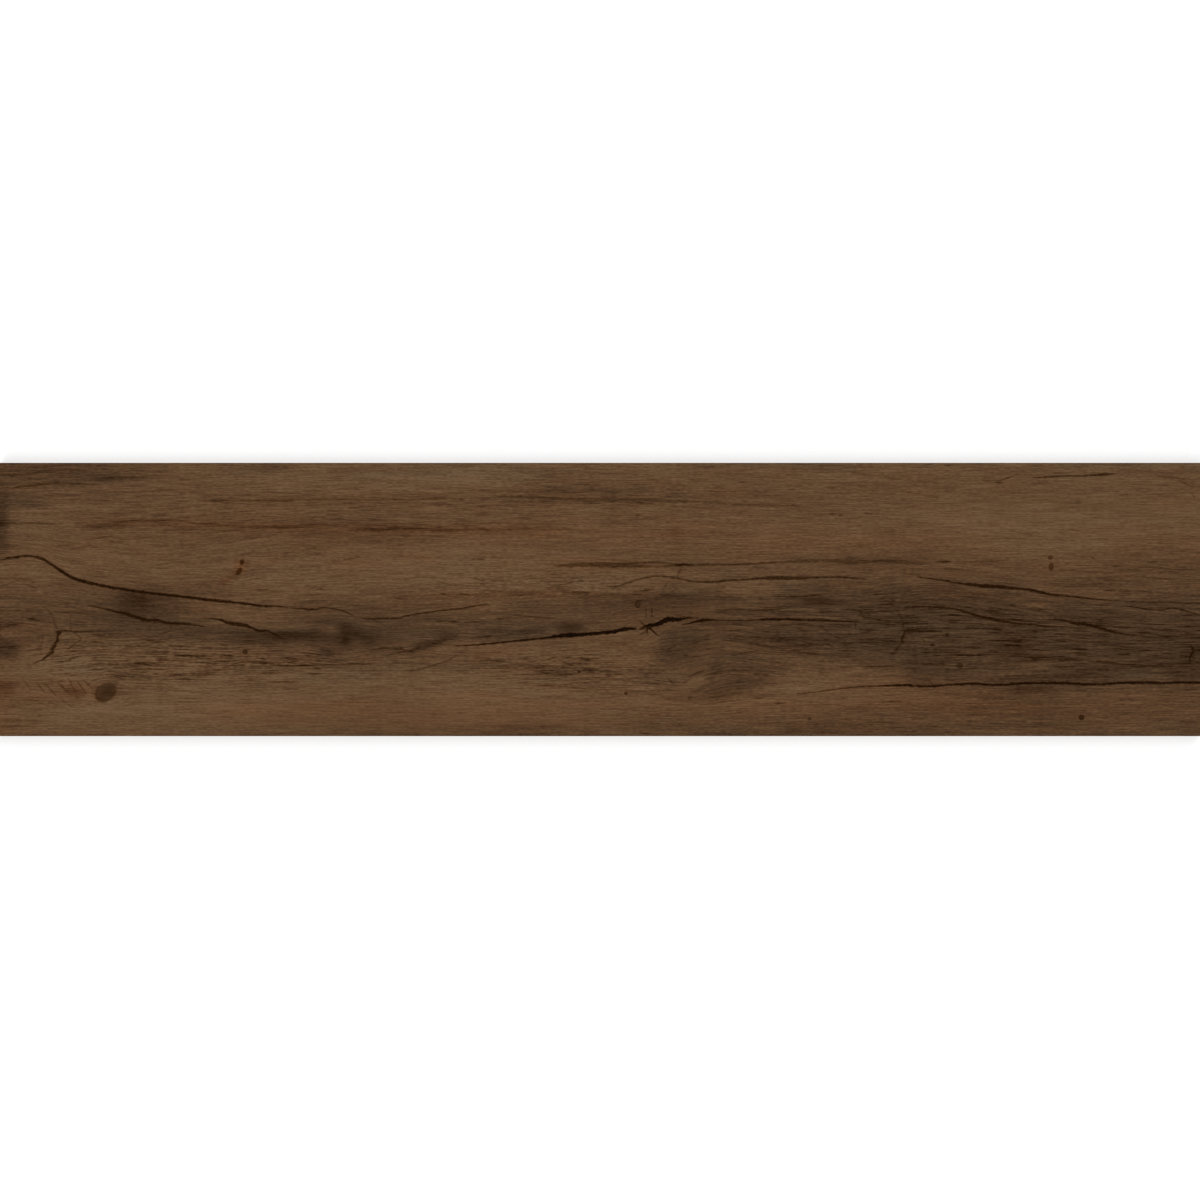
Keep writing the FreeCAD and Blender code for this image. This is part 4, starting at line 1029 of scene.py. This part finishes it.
def write_texture_map(mesh, shell, places):
    """Lays each face on its patch of the texture map."""
    corner = np.zeros(len(mesh.loops), int)
    mesh.loops.foreach_get("vertex_index", corner)
    patches = np.repeat(shell.patches, [len(face) for face in shell.faces])
    uv = np.zeros((len(corner), 2))
    for patch in set(shell.patches):
        mine = patches == patch
        uv[mine] = np.column_stack(patch_uv(patch, *places[corner[mine]].T))
    layer = mesh.uv_layers.new(name="OFBake")
    layer.data.foreach_set("uv", (uv / MAP_SIZE).astype(np.float32).ravel())


def write_field(mesh, name, values):
    """Numbers or vectors of the vertices, which a material reads by this name."""
    kind, key = ("FLOAT", "value") if values.ndim == 1 else ("FLOAT_VECTOR", "vector")
    field = mesh.attributes.new(name, kind, "POINT")
    field.data.foreach_set(key, values.astype(np.float32).ravel())


def write_print(mesh, places, curves):
    """What the face's material reads: the drawn tones, casts and ink, and the run of the grain."""
    x, y, _ = places.T
    px, py = on_photo(x, y)
    patch_tone, patch_cast = sum(patch_levels(px, py, *patch) for patch in sum(PATCHES.values(), []))
    calm = SPOT_CALM * np.max([inside_spot(px, py, spot) for spot in SPOTS.values()], axis=0)
    figure = (1 + levels(px, py, FIGURE)) * (1 - calm)
    write_field(mesh, "tone", (BASE_TONE + levels(px, py, STAINS) + patch_tone) / TONE_LEVELS)
    write_field(mesh, "cast", levels(px, py, CASTS) + patch_cast)
    write_field(mesh, "ink", drawn(px, py, curves)[0])
    write_field(mesh, "dashes", levels(px, py, DASHES))
    write_field(mesh, "reeds", levels(px, py, REEDS))
    write_field(mesh, "grain", np.column_stack([x, -flow(px, py) * PX, figure]))


def placed(name, data):
    """A new object of the scene."""
    thing = bpy.data.objects.new(name, data)
    bpy.context.scene.collection.objects.link(thing)
    return thing


def make_plank():
    chance = np.random.default_rng(SEED)
    marks = [stroke_line(*stroke) for stroke in sum(STROKES.values(), [])]
    curves = [(ink, ragged(points, chance)) for ink, points in [*LINES.values(), *marks]]
    shell = Shell()
    face_xy = add_face(shell, curves)
    foot, foot_xy = add_edges(shell, face_xy)
    add_back(shell, foot, foot_xy)
    places = np.array(shell.places)
    mesh = bpy.data.meshes.new("plank")
    mesh.from_pydata(places.tolist(), [], [tuple(map(int, face)) for face in shell.faces])
    mesh.polygons.foreach_set("material_index", np.where(np.isin(shell.patches, FACE_PATCHES), 0, 1))
    write_texture_map(mesh, shell, places)
    write_print(mesh, places, curves)
    mesh.shade_smooth()
    mesh.set_sharp_from_angle(angle=SHARP)
    mesh.validate()
    return placed("plank", mesh)


def linear(level):
    """An sRGB level as a share of light."""
    share = level / 255
    return share / 12.92 if share <= 0.04045 else ((share + 0.055) / 1.055) ** 2.4


def colour(red, green, blue):
    """A colour written as sRGB levels, as shaders take it."""
    return (linear(red), linear(green), linear(blue), 1.0)


class Nodes:
    """Adds shader nodes one call at a time. An input is a number, a vector, a colour or a socket."""

    def __init__(self, owner):
        self.owner = owner
        owner.use_nodes = True
        self.tree = owner.node_tree
        self.tree.nodes.clear()

    def add(self, kind, inputs=(), output=0, **settings):
        node = self.tree.nodes.new(f"ShaderNode{kind}")
        for name, value in settings.items():
            setattr(node, name, value)
        for key, value in dict(inputs).items():
            if isinstance(value, bpy.types.NodeSocket):
                self.tree.links.new(value, node.inputs[key])
            else:
                node.inputs[key].default_value = value
        return node.outputs[output]

    def math(self, operation, a, b=0.0, c=0.0):
        return self.add("Math", {0: a, 1: b, 2: c}, operation=operation)

    def plus(self, total, value, share):
        """A total with a share of a value added to it."""
        return self.math("MULTIPLY_ADD", value, share, total)

    def scaled(self, vector, scale):
        return self.add("VectorMath", {0: vector, 1: scale}, operation="MULTIPLY")

    def tinted(self, vector, tint, share):
        """A vector with a share of a tint added to it."""
        part = self.add("VectorMath", {0: tint, "Scale": share}, operation="SCALE")
        return self.add("VectorMath", {0: vector, 1: part}, operation="ADD")

    def noise(self, vector, cells, detail=2.0):
        """Noise from 0 to 1 with so many cells to a metre along and across."""
        inputs = {"Vector": self.scaled(vector, (*cells, 0)), "Scale": 1.0, "Detail": detail}
        return self.add("TexNoise", inputs, noise_dimensions="2D")

    def centred(self, noise):
        """Noise about 0."""
        return self.math("SUBTRACT", noise, 0.5)

    def ramp(self, value, low, high):
        """0 below a range of values, 1 above it, and smooth between."""
        inputs = {"Value": value, "From Min": low, "From Max": high}
        return self.add("MapRange", inputs, interpolation_type="SMOOTHSTEP")

    def mix(self, share, a, b):
        """A number between two others."""
        return self.add("Mix", {0: share, 2: a, 3: b}, data_type="FLOAT")

    def colours(self, value, stops):
        """The colour of a value, between stops written as sRGB levels."""
        node = self.tree.nodes.new("ShaderNodeValToRGB")
        self.tree.links.new(value, node.inputs[0])
        elements = node.color_ramp.elements
        while len(elements) < len(stops):
            elements.new(1.0)
        for element, (place, tint) in zip(elements, stops):
            element.position = place
            element.color = colour(*tint)
        return node.outputs[0]

    def attribute(self, name, output="Fac"):
        return self.add("Attribute", output=output, attribute_name=name)

    def bump(self, height):
        inputs = {"Strength": BUMP_STRENGTH, "Distance": BUMP_HEIGHT, "Height": height}
        return self.add("Bump", inputs)

    def finish(self, shader):
        """Shows a shader on the material or world, and gives that back."""
        kind = "World" if isinstance(self.owner, bpy.types.World) else "Material"
        node = self.tree.nodes.new(f"ShaderNodeOutput{kind}")
        self.tree.links.new(shader, node.inputs["Surface"])
        return self.owner


def make_face_material():
    n = Nodes(bpy.data.materials.new("printed_face"))
    grain = n.attribute("grain", "Vector")
    figure = n.add("SeparateXYZ", {0: grain}, output=2)
    noises = {name: n.noise(grain, cells, 1.0) for name, (cells, _) in GRAIN.items()}
    cloud = n.centred(n.noise(grain, CLOUD))
    reed = n.centred(n.noise(grain, REED, 1.0))
    blush = n.centred(n.noise(grain, BLUSH))
    dash = n.ramp(n.noise(grain, DASH, 0.0), *DASH_RANGE)
    dash = n.math("MULTIPLY", dash, n.plus(LEAST_DASH, n.attribute("dashes"), MORE_DASH))

    # The tone, broken up along the grain
    change = 0.0
    for name, (_, share) in GRAIN.items():
        change = n.plus(change, n.centred(noises[name]), share)
    tone = n.plus(n.attribute("tone"), change, figure)
    tone = n.plus(tone, reed, n.math("MULTIPLY", n.attribute("reeds"), REED_SHARE))
    tone = n.math("SUBTRACT", tone, dash)
    tone = n.plus(tone, cloud, CLOUD_SHARE)

    # The ink of the drawn marks, torn by the fine grain; a pale one lightens the tone
    tear = n.math("MULTIPLY", n.centred(noises["fine"]), figure)
    ink = n.math("MULTIPLY", n.attribute("ink"), n.plus(1.0, tear, -TEAR))
    tone = n.plus(tone, n.math("MINIMUM", ink, 0.0), -PALE)
    ink = n.math("MAXIMUM", ink, 0.0)
    shade = n.colours(n.mix(ink, tone, BLACK), WOOD)

    # The reddish and olive casts
    cast = n.plus(n.attribute("cast"), cloud, CLOUD_CAST)
    cast = n.plus(cast, dash, DASH_CAST)
    cast = n.plus(cast, blush, BLUSH_CAST)
    tint = n.tinted(n.tinted((1, 1, 1), CAST_TINT, cast), INK_TINT, ink)

    rough, more_rough = FACE_ROUGH
    return n.finish(n.add("BsdfPrincipled", {
        "Base Color": n.scaled(shade, tint), "Roughness": n.plus(rough, noises["fine"], more_rough),
        "Specular IOR Level": FACE_GLOSS,
        "Normal": n.bump(n.math("ADD", noises["hair"], noises["fine"]))}))


def make_body_material():
    n = Nodes(bpy.data.materials.new("fired_body"))
    place = n.add("TexCoord", output="Object")
    speck, patch = (
        n.add("TexNoise", {"Vector": place, "Scale": cells, "Detail": detail})
        for cells, detail in (BODY_SPECK, BODY_PATCH))
    shade = n.colours(n.plus(patch, n.centred(speck), SPECK_SHARE), BODY)
    rough, more_rough = BODY_ROUGH
    return n.finish(n.add("BsdfPrincipled", {
        "Base Color": shade, "Roughness": n.plus(rough, speck, more_rough),
        "Specular IOR Level": BODY_GLOSS, "Normal": n.bump(speck)}))


def seen(n):
    """1 for rays that show a surface to the camera, directly or by a mirror or glass."""
    path = n.tree.nodes.new("ShaderNodeLightPath")
    either = n.math("MAXIMUM", path.outputs["Is Camera Ray"], path.outputs["Is Glossy Ray"])
    return n.math("MAXIMUM", either, path.outputs["Is Transmission Ray"])


def make_floor():
    n = Nodes(bpy.data.materials.new("pale_floor"))
    matt = n.add("BsdfDiffuse", {"Color": (FLOOR_GREY, FLOOR_GREY, FLOOR_GREY, 1)})
    glow = n.add("Emission", {"Color": WHITE, "Strength": n.math("MULTIPLY", seen(n), FLOOR_GLOW)})
    mesh = bpy.data.meshes.new("floor")
    corners = [(x * FLOOR_REACH, y * FLOOR_REACH, LOW.z - FLOOR_DROP) for x, y in CORNERS]
    mesh.from_pydata(corners, [], [(0, 1, 2, 3)])
    mesh.materials.append(n.finish(n.add("AddShader", {0: matt, 1: glow})))
    placed("floor", mesh)


def make_light():
    n = Nodes(bpy.data.worlds.new("studio"))
    level = n.mix(seen(n), WORLD_LEVEL, 1.0)
    bpy.context.scene.world = n.finish(n.add("Background", {"Color": WHITE, "Strength": level}))
    for name, (azimuth, elevation, strength, spread) in LAMPS.items():
        lamp = bpy.data.lights.new(name, "SUN")
        lamp.energy = strength
        lamp.angle = math.radians(spread)
        turn = (math.radians(90 - elevation), 0, math.radians(azimuth))
        placed(name, lamp).rotation_euler = turn


def make_camera():
    """Straight down on the face, so far up that the plank just fills the frame's width."""
    camera = bpy.data.cameras.new("camera")
    camera.lens, camera.sensor_width = LENS, SENSOR
    rise = FRAME_PX * PX * LENS / SENSOR
    off = (FRAME_PX / 2 - MIDDLE_PX[1]) * PX
    holder = placed("camera", camera)
    holder.location = (0, -off, TOP + rise)
    bpy.context.scene.camera = holder


plank = make_plank()
plank.data.materials.append(make_face_material())
plank.data.materials.append(make_body_material())
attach(plank, "root")
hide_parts(NODE)
make_floor()
make_light()
make_camera()
bpy.context.scene.view_settings.view_transform = "Standard"
